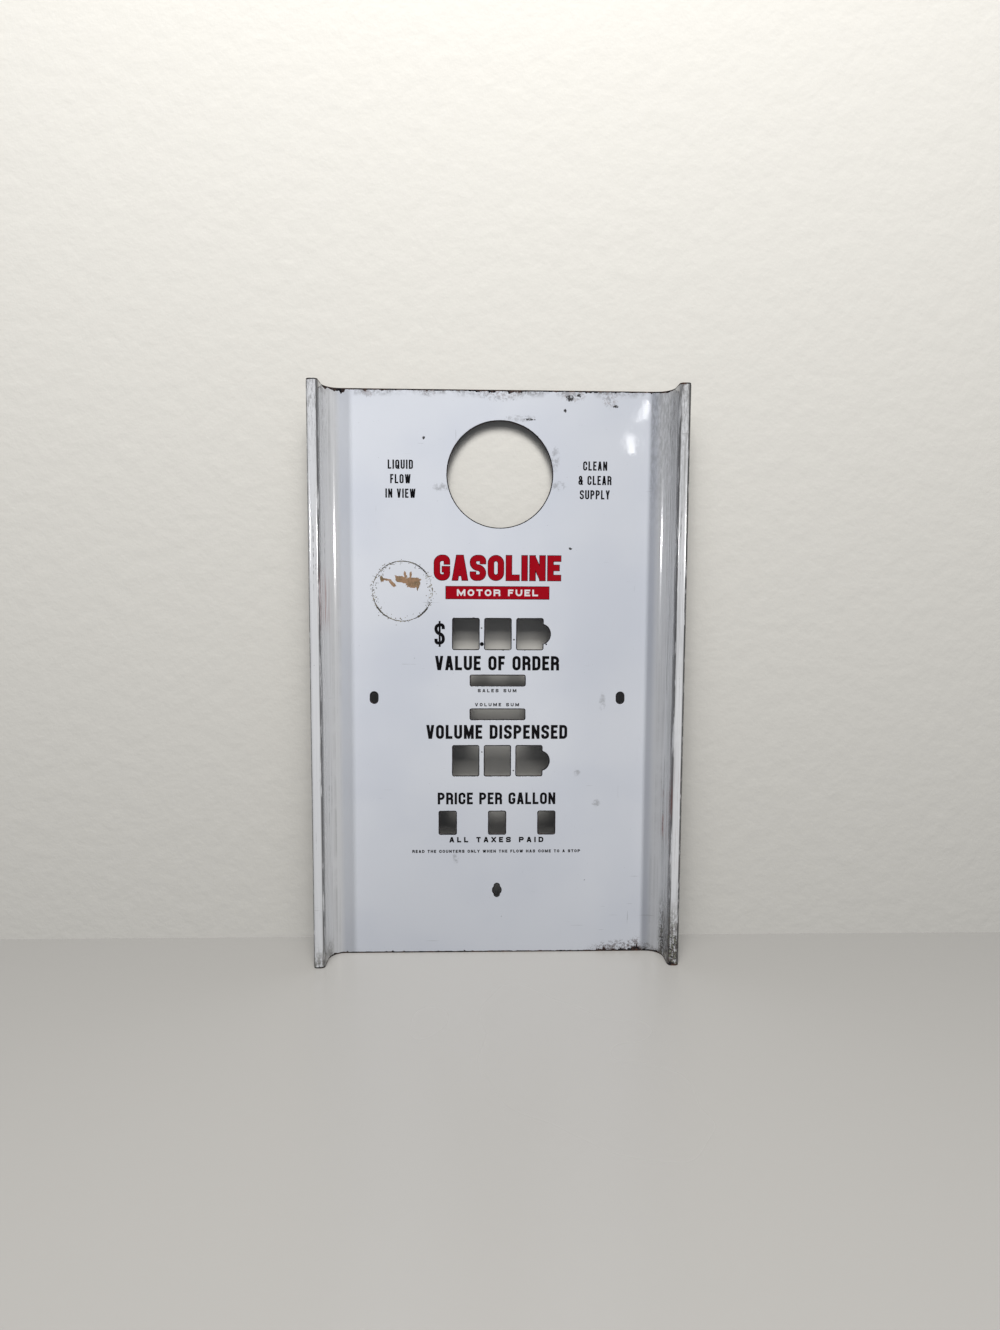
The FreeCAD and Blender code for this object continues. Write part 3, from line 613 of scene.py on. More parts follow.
@dataclass
class Seal:
    """Old glue left in a ring, and scraps of the paper that it held.

    Attributes:
        middle: the ring's centre, across and up the face.
        radius: outside of the ring.
        front: Y of the enamel it lies on.
        gauge: greatest thickness.
        line: width of the ring of glue.
        seed: the random draw.
    """

    middle: tuple[float, float]
    radius: float
    front: float
    gauge: float
    line: float = 0.85 * MM
    seed: int = 41

    def glue(self) -> bpy.types.Object:
        """Make the ring of glue as a row of flat crumbs, with loose ones about it.

        Each crumb is a low dome: its height falls off as the square root of
        one less the squared distance from its middle, and its outline is a
        circle bent along the ring and made uneven by three waves.

        Returns:
            One object with several hundred crumbs.
        """
        draw = np.random.default_rng(self.seed)
        line_count, loose_count = 640, 420
        bearing = np.concatenate([
            np.linspace(-np.pi, np.pi, line_count, endpoint=False) + draw.normal(0, 0.006, line_count),
            draw.uniform(-np.pi, np.pi, loose_count),
        ])
        degrees, shares, widths = np.array(GLUE).T
        share = np.interp(np.degrees(bearing), degrees, shares)
        on_line = np.arange(len(bearing)) < line_count
        chance = np.where(on_line, share, 0.95 - 0.75 * share)
        kept = draw.uniform(0, 1, len(bearing)) < chance
        bearing, on_line = bearing[kept], on_line[kept]
        size = len(bearing)
        stout = np.interp(np.degrees(bearing), degrees, widths)
        radius = self.radius - self.line / 2 + np.where(
            on_line, draw.normal(0, 0.10, size) * self.line, draw.normal(-0.8, 1.5, size) * MM)
        middle = np.stack([
            self.middle[0] + radius * np.cos(bearing),
            self.middle[1] + radius * np.sin(bearing),
        ], 1)
        turn = bearing + np.pi / 2 + np.where(on_line, 0, draw.uniform(-1.5, 1.5, size))
        long_half = np.where(
            on_line, draw.uniform(0.25, 0.60, size), draw.uniform(0.20, 0.62, size)) * MM
        wide_half = np.where(
            on_line, draw.uniform(0.24, 0.42, size) * stout, draw.uniform(0.16, 0.38, size)) * MM
        return self.crumbs("seal_glue_crumbs", middle, turn, long_half, wide_half, self.seed + 5)

    def crumbs(self, name: str, middle: Array, turn: Array, long_half: Array, wide_half: Array,
               seed: int) -> bpy.types.Object:
        """Make many low domes on the face at once.

        Args:
            name: the object's name.
            middle: where each crumb lies.
            turn: the direction of its long axis.
            long_half: half its length.
            wide_half: half its width.
            seed: the random draw of the outlines.

        Returns:
            The object.
        """
        draw = np.random.default_rng(seed)
        spokes = 10
        angle = np.linspace(0, 2 * np.pi, spokes, endpoint=False)
        size = len(middle)
        uneven = 1 + sum(
            draw.uniform(0.05, 0.22, (size, 1)) * np.cos(wave * angle + draw.uniform(0, 6.28, (size, 1)))
            for wave in (2, 3, 4)
        )
        rings = []
        for share, rise in ((1.0, 0.0), (1.0, 0.35), (0.7, 0.8), (0.3, 1.0)):
            a = long_half[:, None] * uneven * share * np.cos(angle)
            b = wide_half[:, None] * uneven * share * np.sin(angle)
            x = middle[:, 0, None] + a * np.cos(turn)[:, None] - b * np.sin(turn)[:, None]
            z = middle[:, 1, None] + a * np.sin(turn)[:, None] + b * np.cos(turn)[:, None]
            rings.append(np.stack([x, np.full_like(x, self.front - self.gauge * rise), z], axis=2))
        points = np.stack(rings, axis=1)
        block = points.shape[1] * spokes
        base = np.arange(size)[:, None] * block
        ring_ids = [index * spokes + np.arange(spokes) for index in range(len(rings))]
        strips = np.concatenate([closed_strip(low, high) for low, high in zip(ring_ids, ring_ids[1:])])
        strips = (base[:, :, None] + strips[None]).reshape(-1, 4)
        cap = base + ring_ids[-1][None]
        foot = base + ring_ids[0][::-1][None]
        return make_object(name, points.reshape(-1, 3), [strips, cap, foot], 60)

    def scraps(self) -> bpy.types.Object:
        """Make the scraps of paper as thin sheets with torn outlines.

        A scrap is a polar grid. Its outline is an ellipse, squared by raising
        the cosine and sine to a power and made ragged by smoothed noise. Its
        surface rises to the gauge near the outline and then wrinkles a little.

        Returns:
            One object with every scrap.
        """
        spokes, steps = 150, 9
        groups, faces, start = [], [], 0
        angle = np.linspace(0, 2 * np.pi, spokes, endpoint=False)
        for index, (x0, z0, half_x, half_z, turn, power) in enumerate(SCRAPS):
            edge = 1 + 0.28 * power * ragged(spokes, 17, 60 + index) + 0.12 * ragged(spokes, 4, 80 + index)
            share = np.linspace(0, 1, steps + 1)[1:]
            across = np.sign(np.cos(angle)) * np.abs(np.cos(angle)) ** power
            along = np.sign(np.sin(angle)) * np.abs(np.sin(angle)) ** power
            a = half_x * edge * across * share[:, None]
            b = half_z * edge * along * share[:, None]
            x = self.middle[0] + x0 + a * math.cos(turn) - b * math.sin(turn)
            z = self.middle[1] + z0 + a * math.sin(turn) + b * math.cos(turn)
            wrinkle = 0.75 + 0.25 * np.sin(900 * x + 500 * z) * np.sin(700 * z - 300 * x)
            rise = self.gauge * wrinkle * np.clip((1 - share[:, None]) * 8 + 0.25, 0, 1)
            upper = np.stack([x, self.front - rise, z], axis=2)
            lower = np.stack([x[-1], np.full(spokes, self.front), z[-1]], axis=1)
            hub = [self.middle[0] + x0, self.front - 0.75 * self.gauge, self.middle[1] + z0]
            groups += [upper.reshape(-1, 3), lower, [hub]]
            ids = start + np.arange(steps * spokes).reshape(steps, spokes)
            foot = start + steps * spokes + np.arange(spokes)
            centre = start + (steps + 1) * spokes
            faces += [closed_strip(ids[row + 1], ids[row]) for row in range(steps - 1)]
            faces += [closed_strip(foot, ids[-1]), foot[::-1][None]]
            faces.append(np.stack([np.full(spokes, centre), ids[0], np.roll(ids[0], -1)], axis=1))
            start += (steps + 1) * spokes + 1
        return make_object("seal_paper_torn", np.concatenate(groups), faces, 50)


# Glue left round the ring: bearing in degrees, share of the line still there,
# and its width against the usual
GLUE = (
    (-180, 0.15, 1.0), (-160, 0.5, 1.1), (-150, 1.0, 1.7), (-130, 1.0, 1.5), (-112, 0.8, 0.9),
    (-65, 0.6, 0.8), (-57, 1.0, 1.8), (-36, 1.0, 1.9), (-30, 0.25, 1.0), (32, 0.2, 1.0),
    (40, 1.0, 1.5), (60, 1.0, 1.2),
    (95, 0.95, 1.0), (120, 0.85, 1.0), (130, 0.4, 1.0), (150, 0.15, 1.0), (180, 0.15, 1.0),
)

# Scraps of paper: place from the ring's centre, half sizes, turn, and the
# power that squares the outline, all lengths in metres
SCRAPS = (
    (8.3 * MM, 6.9 * MM, 5.4 * MM, 3.7 * MM, -0.06, 0.45),
    (-0.4 * MM, 9.0 * MM, 5.0 * MM, 2.5 * MM, -0.25, 0.8),
    (2.2 * MM, 12.4 * MM, 1.1 * MM, 2.8 * MM, 0.15, 1.0),
    (6.3 * MM, 12.2 * MM, 0.8 * MM, 3.0 * MM, -0.10, 1.0),
    (11.8 * MM, 2.6 * MM, 0.6 * MM, 2.0 * MM, 0.0, 1.0),
    (-16.0 * MM, 9.4 * MM, 1.3 * MM, 2.3 * MM, 0.3, 0.9),
    (-12.2 * MM, 8.9 * MM, 3.6 * MM, 0.9 * MM, -0.15, 1.0),
    (-7.8 * MM, 6.1 * MM, 3.6 * MM, 1.4 * MM, -0.75, 0.9),
)


# ---------------------------------------------------------------------------
# Finishes
# ---------------------------------------------------------------------------

Socket = bpy.types.NodeSocket
Colour = tuple[float, float, float]
Value = float | Socket
Paint = Colour | Socket


class Graph:
    """The nodes of one material, made with short calls."""

    def __init__(self, name: str) -> None:
        """Start an empty material.

        Args:
            name: the material's name.
        """
        self.material = bpy.data.materials.new(name)
        self.material.use_nodes = True
        self.tree = self.material.node_tree
        self.tree.nodes.clear()
        self.place = self.node("ShaderNodeTexCoord").outputs["Object"]
        split = self.node("ShaderNodeSeparateXYZ", {0: self.place})
        self.x, self.y, self.z = split.outputs
        self.uneven = self.math("MULTIPLY_ADD", self.noise(900, 3, 0.6), 4.0, -2.0)

    def node(self, kind: str, inputs: dict | None = None, **settings: object) -> bpy.types.Node:
        """Add a node.

        Args:
            kind: its Blender type.
            inputs: numbers, colours or sockets by input name or number.
            settings: its own properties.

        Returns:
            The node.
        """
        made = self.tree.nodes.new(kind)
        for key, value in settings.items():
            setattr(made, key, value)
        for key, value in (inputs or {}).items():
            if isinstance(value, bpy.types.NodeSocket):
                self.tree.links.new(value, made.inputs[key])
            else:
                made.inputs[key].default_value = value
        return made

    def stretched(self, scale: tuple[float, float, float], turn: float = 0.0) -> Socket:
        """Give the place scaled along each axis and turned in the face's plane."""
        inputs = {"Vector": self.place, "Scale": scale, "Rotation": (0, turn, 0)}
        return self.node("ShaderNodeMapping", inputs).outputs[0]

    def noise(self, scale: float, detail: float = 2.0, rough: float = 0.5, place: Socket | None = None,
              twist: float = 0.0) -> Socket:
        """Give a noise from 0 to 1.

        Args:
            scale: bumps to the metre.
            detail: how many finer layers.
            rough: how strong the finer layers are.
            place: where it is read, if not at the object's own coordinates.
            twist: how far it is bent by itself.

        Returns:
            The noise.
        """
        inputs = {"Vector": place or self.place, "Scale": scale, "Detail": detail,
                  "Roughness": rough, "Distortion": twist}
        return self.node("ShaderNodeTexNoise", inputs).outputs[0]

    def math(self, operation: str, first: Value, second: Value = 0.0, third: Value = 0.0) -> Socket:
        """Combine numbers."""
        inputs = {0: first, 1: second, 2: third}
        return self.node("ShaderNodeMath", inputs, operation=operation).outputs[0]

    def fade(self, value: Value, low: float, high: float) -> Socket:
        """Rise smoothly from 0 to 1.

        Args:
            value: what it follows.
            low: the value at which it is 0.
            high: the value at which it is 1, which may be the smaller of the two.

        Returns:
            The share.
        """
        inputs = {"Value": value, "From Min": low, "From Max": high}
        made = self.node("ShaderNodeMapRange", inputs, interpolation_type="SMOOTHSTEP", clamp=True)
        return made.outputs["Result"]

    def times(self, *values: Value) -> Socket:
        """Multiply numbers together.

        Args:
            values: two or more of them.

        Returns:
            Their product.
        """
        product = values[0]
        for value in values[1:]:
            product = self.math("MULTIPLY", product, value)
        return product

    def most(self, *values: Value) -> Socket:
        """Take the largest of several numbers.

        Args:
            values: two or more of them.

        Returns:
            The largest.
        """
        largest = values[0]
        for value in values[1:]:
            largest = self.math("MAXIMUM", largest, value)
        return largest

    def blend(self, share: Value, first: Paint, second: Paint) -> Socket:
        """Mix two colours.

        Args:
            share: the share of the second colour.
            first: one colour.
            second: the other.

        Returns:
            The mixed colour.
        """
        made = self.node("ShaderNodeMix", data_type="RGBA")
        for index, value in ((0, share), (6, first), (7, second)):
            if isinstance(value, bpy.types.NodeSocket):
                self.tree.links.new(value, made.inputs[index])
            else:
                made.inputs[index].default_value = value if index == 0 else (*value, 1.0)
        return made.outputs[2]

    def spot(self, place: tuple[float, float], half: tuple[float, float], soft: float = 0.35) -> Socket:
        """Give 1 inside an ellipse on the face, fading out round its edge.

        The sum of the squared distances, each over its half size, is 1 on the
        ellipse; a fine noise is added to it so that the edge is uneven.

        Args:
            place: its middle, across and up the face.
            half: its half sizes.
            soft: how far to either side of 1 the sum fades.

        Returns:
            The share.
        """
        over_x = self.math("DIVIDE", self.math("SUBTRACT", self.x, place[0]), half[0])
        over_z = self.math("DIVIDE", self.math("SUBTRACT", self.z, place[1]), half[1])
        reach = self.math("ADD", self.times(over_x, over_x), self.times(over_z, over_z))
        reach = self.math("ADD", reach, self.uneven)
        return self.fade(reach, 1 + soft, 1 - soft)

    def bump(self, height: Socket, distance: float, strength: float, below: Socket | None = None) -> Socket:
        """Turn a height into a normal.

        Args:
            height: the height, from 0 to 1.
            distance: how high 1 is, in metres.
            strength: how far the normal follows it.
            below: a normal that it is laid on.

        Returns:
            The normal.
        """
        inputs = {"Height": height, "Distance": distance, "Strength": strength}
        if below is not None:
            inputs["Normal"] = below
        return self.node("ShaderNodeBump", inputs).outputs[0]

    def finish(self, colour: Paint, roughness: Value, normal: Socket | None = None,
               **fixed: float) -> bpy.types.Material:
        """Close the material with a principled surface.

        Args:
            colour: the base colour, as numbers or a socket.
            roughness: a number or a socket.
            normal: the bumped normal, if any.
            fixed: other inputs, with underscores for spaces, set on the shader.

        Returns:
            The material.
        """
        inputs = {"Base Color": colour if isinstance(colour, bpy.types.NodeSocket) else (*colour, 1.0),
                  "Roughness": roughness}
        if normal is not None:
            inputs["Normal"] = normal
        inputs.update({key.replace("_", " "): value for key, value in fixed.items()})
        shader = self.node("ShaderNodeBsdfPrincipled", inputs)
        self.node("ShaderNodeOutputMaterial", {0: shader.outputs[0]})
        return self.material


@dataclass(frozen=True)
class WhiteEnamel:
    """Bluish white cover coat: glossy, faintly rippled, stained and specked, with painted shade.

    Attributes:
        fresh: clean enamel.
        cool: its bluer patches.
        warm: the flanges.
        painted_shade: grey of the painted shade that darkens the flat face towards the bottom and the right.
        soot_and_shade: thick grey dirt, also laid on as painted shade at the top of the right-hand cove.
        rust: rust in the rubbed patches.
        red: red rust runs.
        moss: greenish dirt at the foot.
        scorched: brown dirt at the foot.
        dark: the ground coat in chips.
    """

    fresh: Colour = (0.715, 0.735, 0.785)
    cool: Colour = (0.655, 0.680, 0.745)
    warm: Colour = (0.700, 0.700, 0.705)
    painted_shade: Colour = (0.400, 0.415, 0.455)
    soot_and_shade: Colour = (0.085, 0.080, 0.075)
    rust: Colour = (0.16, 0.075, 0.045)
    red: Colour = (0.30, 0.040, 0.025)
    moss: Colour = (0.120, 0.130, 0.075)
    scorched: Colour = (0.060, 0.032, 0.026)
    dark: Colour = (0.012, 0.010, 0.010)

    def build(self, section: Section, height: float, sight: Opening) -> bpy.types.Material:
        """Make the finish for this plate.

        Args:
            section: gives where the flanges start and end.
            height: the plate's height.
            sight: the sight glass opening, which is stained beside.

        Returns:
            The material.
        """
        g = Graph("white_enamel")
        side = g.math("ABSOLUTE", g.x)
        blotch = g.noise(55, 5, 0.6)
        small = g.noise(240, 5, 0.65)
        grain = g.noise(620, 3, 0.6)
        colour = g.blend(g.fade(g.noise(9, 3), 0.35, 0.65), self.fresh, self.cool)
        # Painted shade: the flat face is greyed more and more towards the bottom and towards the right,
        # standing in for light that falls off there.
        painted_shade = g.most(g.fade(g.z, 0.36, -0.10), g.times(g.fade(g.x, -0.02, 0.12), 0.9))
        painted_shade = g.times(painted_shade, g.fade(side, section.flat + 6 * MM, section.flat))
        colour = g.blend(g.times(painted_shade, 0.36), colour, self.painted_shade)

        flange = g.fade(side, section.flat - 1 * MM, section.flat + 5 * MM)
        wall = g.fade(side, section.flat + 8 * MM, section.flat + 11.5 * MM)
        lip = g.fade(side, section.half_width - 8.4 * MM, section.half_width - 6.5 * MM)
        wide_lines = g.noise(1.0, 4, 0.6, g.stretched((520, 520, 4)))
        thin_lines = g.noise(1.0, 3, 0.6, g.stretched((1300, 1300, 14)))
        runs = g.times(flange, g.fade(wide_lines, 0.44, 0.72), g.fade(blotch, 0.30, 0.60))
        hair = g.times(g.most(wall, lip), g.fade(thin_lines, 0.50, 0.62))
        left, right = g.fade(g.x, 0.0, -SIDE_REACH), g.fade(g.x, 0.0, SIDE_REACH)
        left_wall = g.times(wall, left)
        middle_lip = g.times(lip, g.fade(g.z, height - 50 * MM, height - 110 * MM))
        clean = g.most(g.times(left_wall, 0.85), g.times(middle_lip, 0.45))
        cleaner = g.math("MULTIPLY_ADD", clean, -1.0, 1.0)
        runs, hair = g.times(runs, cleaner), g.times(hair, cleaner)
        cheek = g.times(wall, g.math("SUBTRACT", 1.0, lip))
        colour = g.blend(g.times(flange, 0.8), colour, self.warm)
        colour = g.blend(g.times(runs, 0.30), colour, self.soot_and_shade)
        colour = g.blend(g.times(hair, 0.55), colour, self.soot_and_shade)
        # Grey dirt and painted shade at the top of the right-hand cove: from the edge of the right flange's
        # shadow outwards the colour is darkened a little everywhere and more in streaky grime.
        grime_and_shade = g.fade(g.noise(1.0, 5, 0.65, g.stretched((700, 700, 180))), 0.36, 0.62)
        top_right = g.times(g.fade(g.x, 117.5 * MM, 119.5 * MM),
                            g.fade(g.z, height - 150 * MM, height - 5 * MM))
        colour = g.blend(g.times(top_right, g.math("MULTIPLY_ADD", grime_and_shade, 0.32, 0.03)), colour, self.soot_and_shade)
        dashes = g.times(g.most(wall, lip), g.fade(g.z, height - 75 * MM, height - 10 * MM),
                         g.fade(g.noise(1.0, 4, 0.7, g.stretched((1400, 1400, 130))), 0.53, 0.60))
        colour = g.blend(g.times(dashes, 0.60), colour, self.soot_and_shade)
        crease = g.times(g.fade(side, 133.0 * MM, 133.8 * MM), g.fade(side, 135.8 * MM, 135.0 * MM),
                         g.fade(g.y, -6.5 * MM, -8.5 * MM),
                         g.fade(g.noise(1.0, 4, 0.7, g.stretched((300, 300, 26))), 0.38, 0.50))
        colour = g.blend(g.times(crease, 0.80), colour, self.dark)

        low_edge = g.times(g.fade(g.z, 8 * MM, 0.4 * MM), g.fade(g.x, 55 * MM, 95 * MM))
        edge = g.most(g.fade(g.z, height - 7 * MM, height - 0.4 * MM), low_edge)
        smudge = g.times(edge, g.fade(blotch, 0.42, 0.62), g.fade(small, 0.36, 0.60))
        colour = g.blend(g.times(smudge, 0.80), colour, self.soot_and_shade)
        rubbed = g.most(*[
            g.spot((x * MM, height - z * MM), (a * MM, b * MM), BLURRED) for x, z, a, b in RUBBED])
        rubbed = g.times(rubbed, g.fade(g.noise(420, 5, 0.7), 0.42, 0.58))
        rusted = g.blend(g.fade(small, 0.42, 0.60), self.dark, self.rust)
        colour = g.blend(g.times(rubbed, 0.45), colour, rusted)
        both_ends = g.most(g.fade(g.z, height - 14 * MM, height), g.fade(g.z, 30 * MM, 0.0))
        lip_ends = g.times(lip, cleaner, both_ends)
        colour = g.blend(g.times(lip_ends, g.fade(small, 0.44, 0.58), 0.70), colour, self.soot_and_shade)

        beside = [(sight.across + x, sight.up + z, half_x, half_z) for x, z, half_x, half_z in SIGHT_STAINS]
        stains = g.most(*[g.spot(place[:2], place[2:], BLURRED) for place in (*beside, *STAINS)])
        stains = g.times(stains, g.fade(small, 0.40, 0.60))
        colour = g.blend(g.times(stains, 0.42), colour, self.soot_and_shade)

        low_right = g.times(wall, right, g.fade(g.z, 62 * MM, 12 * MM))
        low_left = g.times(wall, left, g.fade(g.z, 22 * MM, 2 * MM))
        mottle = g.fade(g.noise(1.0, 5, 0.7, g.stretched((560, 560, 170))), 0.44, 0.52)
        corner = g.times(g.most(low_right, g.times(low_left, 0.7)), mottle)
        scorch = g.times(g.most(*[g.spot(place[:2], place[2:], BLURRED) for place in SCORCHES]),
                         g.fade(g.noise(520, 5, 0.7), 0.44, 0.56))
        red_right = g.times(wall, right, self.band(g, 0.118, 0.050), g.fade(thin_lines, 0.53, 0.62),
                            g.fade(blotch, 0.42, 0.58))
        red_left = g.times(cheek, left, self.band(g, 0.285, 0.030), g.fade(thin_lines, 0.50, 0.60))
        mossy = g.blend(g.fade(grain, 0.44, 0.52), self.moss, self.scorched)
        colour = g.blend(g.times(corner, 0.90), colour, mossy)
        colour = g.blend(g.times(scorch, 0.85), colour, self.scorched)
        colour = g.blend(g.times(g.most(red_right, red_left), 0.60), colour, self.red)
        drips = g.times(wall, g.most(self.band(g, 0.110, 0.060), self.band(g, 0.330, 0.050)),
                        g.fade(thin_lines, 0.60, 0.66), g.fade(small, 0.45, 0.55))
        colour = g.blend(g.times(drips, 0.75), colour, self.dark)
        ends = g.most(low_right, g.times(lip_ends, 0.5), g.times(low_left, 0.6))
        flecks = g.fade(g.math("ADD", g.noise(640, 4, 0.7), g.times(ends, 0.10)), 0.60, 0.64)
        flecks = g.times(ends, flecks)
        outer = g.most(g.fade(g.x, section.half_width - 2.6 * MM, section.half_width - 1.7 * MM),
                       g.fade(g.x, 1.4 * MM - section.half_width, 0.7 * MM - section.half_width))
        outer = g.times(outer, g.fade(g.noise(1.0, 4, 0.65, g.stretched((500, 500, 90))), 0.32, 0.46))

        nicks = g.most(*[g.spot((x * MM, z * MM), (a * MM, b * MM), 0.5) for x, z, a, b in NICKS])
        nicks = g.times(nicks, g.fade(grain, 0.36, 0.46))
        specks = g.fade(g.noise(950, 1, 0.5), 0.775, 0.80)
        scratch_a = g.noise(1.0, 2, 0.5, g.stretched((38, 38, 900), 0.5))
        scratch_b = g.noise(1.0, 2, 0.5, g.stretched((900, 900, 30), -0.25))
        scratches = g.times(g.most(g.fade(scratch_a, 0.735, 0.76), g.fade(scratch_b, 0.745, 0.77)),
                            g.fade(g.noise(18, 2), 0.52, 0.62))
        colour = g.blend(g.times(g.most(scratches, specks), 0.40), colour, self.soot_and_shade)
        colour = g.blend(g.most(nicks, flecks, g.times(outer, 0.9)), colour, self.dark)

        soiled = g.most(runs, hair, stains, corner, smudge, flecks, nicks, g.times(scratches, 0.6))
        roughness = g.math("MULTIPLY_ADD", soiled, 0.35, 0.05)
        smear = g.times(g.fade(g.noise(14, 4, 0.6), 0.50, 0.80), 0.06)
        roughness = g.math("ADD", roughness, g.math("MULTIPLY_ADD", flange, 0.07, smear))
        ripple = g.bump(g.noise(26, 2, 0.4), 0.0008, 0.22)
        peel = g.bump(g.noise(340, 2, 0.5), 0.00005, 0.30, ripple)
        pits = g.bump(g.math("MULTIPLY_ADD", g.most(nicks, specks, flecks), -1.0, 1.0), 0.0003, 0.6, peel)
        return g.finish(colour, roughness, pits, Coat_Weight=0.45, Coat_Roughness=0.03, IOR=1.5)

    @staticmethod
    def band(g: Graph, middle: float, half: float) -> Socket:
        """Give 1 round a height, fading out at half a band above and below."""
        return g.fade(g.math("ABSOLUTE", g.math("SUBTRACT", g.z, middle)), half, 0.3 * half)


# Nicks in the face: across and up, and half sizes, in mm
NICKS = (
    (-58.0, 411.0, 1.0, 1.2), (23.5, 425.5, 4.2, 0.7), (56.5, 326.5, 1.3, 0.8), (90.5, 436.0, 2.0, 1.2),
    (51.5, 432.5, 1.2, 1.3), (55.0, 442.0, 3.0, 2.2), (62.0, 444.0, 1.6, 1.3), (-13.0, 264.0, 0.6, 0.5),
    (12.6, 255.0, 0.7, 0.6), (-12.4, 165.0, 0.6, 0.5), (12.9, 150.0, 0.6, 0.5), (-66.0, 240.0, 0.5, 0.4),
    (71.0, 60.0, 0.5, 0.4), (4.0, 30.0, 0.5, 0.4),
)

# Rusty rubbed patches: across, and down from the top edge, with half sizes, in mm
RUBBED = (
    (2.0, 2.5, 15.0, 5.0), (58.0, 3.5, 8.0, 4.5), (86.0, 4.0, 5.0, 8.0), (-54.0, 1.5, 6.0, 3.5),
    (-101.0, 2.0, 5.0, 4.0),
)

# Stains in metres: across and up, and half sizes. The first are placed from the
# middle of the sight glass opening, the others from the foot of the plate
SIGHT_STAINS = (
    (0.0455, -0.0085, 0.0050, 0.0032),
    (-0.0460, -0.0100, 0.0055, 0.0026),
    (0.0430, 0.0120, 0.0028, 0.0080),
    (0.0150, 0.0430, 0.0100, 0.0022),
)
STAINS = (
    (0.0795, 0.1235, 0.0028, 0.0028),
    (0.0835, 0.2060, 0.0022, 0.0060),
    (-0.0330, 0.0790, 0.0022, 0.0045),
    (0.0640, 0.1480, 0.0022, 0.0022),
)

# Scorched places at the foot, in metres: across and up, and half sizes
SCORCHES = ((0.103, 0.0, 0.024, 0.0075), (0.114, 0.002, 0.006, 0.008))

# How softly a stain's edge fades, and how far from the middle a side counts in full
BLURRED = 0.9
SIDE_REACH = 0.11


@dataclass(frozen=True)
class GroundEnamel:
    """Dark ground coat: near black, glossy, with a pale speckle and rust.

    Attributes:
        base: clean enamel.
        speckle: its pale specks and scratches.
        rust: rust near the edges.
    """

    base: Colour = (0.007, 0.007, 0.009)
    speckle: Colour = (0.16, 0.17, 0.19)
    rust: Colour = (0.050, 0.022, 0.014)

    def build(self, height: float, name: str, amount: float) -> bpy.types.Material:
        """Make the finish.

        Args:
            height: the plate's height.
            name: the material's name.
            amount: strength of the pale speckle.

        Returns:
            The material.
        """
        g = Graph(name)
        spots = g.times(g.fade(g.noise(900, 2, 0.5), 0.62, 0.68), amount)
        side = g.math("ABSOLUTE", g.x)
        edge = g.most(g.fade(g.z, height - 9 * MM, height), g.fade(g.z, 9 * MM, 0.0),
                      g.fade(side, 0.138, 0.1425))
        rusty = g.times(edge, g.fade(g.noise(240, 5, 0.65), 0.46, 0.60))
        scuff = g.times(g.fade(g.noise(1.0, 3, 0.5, g.stretched((40, 40, 700), 0.4)), 0.72, 0.76), 0.4)
        colour = g.blend(spots, self.base, self.speckle)
        colour = g.blend(scuff, colour, self.speckle)
        colour = g.blend(rusty, colour, self.rust)
        roughness = g.math("MULTIPLY_ADD", g.most(rusty, scuff), 0.5, 0.24)
        normal = g.bump(g.noise(380, 3, 0.5), 0.0001, 0.5)
        return g.finish(colour, roughness, normal, IOR=1.5, Specular_IOR_Level=0.3)


@dataclass(frozen=True)
class RustySteel:
    """Bare sheet steel: dark scale, brown rust and a little bright metal.

    Attributes:
        scale: dark scale.
        rust: brown rust.
        bright: bare bright metal.
    """

    scale: Colour = (0.016, 0.013, 0.012)
    rust: Colour = (0.075, 0.030, 0.017)
    bright: Colour = (0.20, 0.18, 0.16)

    def build(self) -> bpy.types.Material:
        """Make the finish.

        Returns:
            The material.
        """
        g = Graph("rusty_steel")
        coarse = g.noise(170, 5, 0.65)
        colour = g.blend(g.fade(coarse, 0.42, 0.60), self.scale, self.rust)
        colour = g.blend(g.fade(g.noise(420, 3), 0.66, 0.74), colour, self.bright)
        normal = g.bump(g.noise(900, 4, 0.7), 0.0003, 0.8)
        roughness = g.math("MULTIPLY_ADD", coarse, 0.4, 0.45)
        return g.finish(colour, roughness, normal, Metallic=0.25)


@dataclass(frozen=True)
class FiredLegend:
    """A fired legend colour, slightly uneven in gloss and worn in places.

    Attributes:
        name: the material's name.
        colour: the legend where it is whole.
        worn: where it is worn thin.
        wear: share of the worn colour there.
        sheen: strength of its shine.
    """

    name: str
    colour: Colour
    worn: Colour
    wear: float = 0.25
    sheen: float = 0.12

    def build(self) -> bpy.types.Material:
        """Make the finish.

        Returns:
            The material.
        """
        g = Graph(self.name)
        thin = g.fade(g.noise(480, 4, 0.65), 0.60, 0.72)
        cloudy = g.fade(g.noise(60, 4, 0.6), 0.40, 0.70)
        colour = g.blend(g.times(thin, cloudy, self.wear), self.colour, self.worn)
        roughness = g.math("MULTIPLY_ADD", cloudy, 0.16, 0.22)
        normal = g.bump(g.noise(700, 3, 0.5), 0.00005, 0.4)
        return g.finish(colour, roughness, normal, IOR=1.5, Specular_IOR_Level=self.sheen)


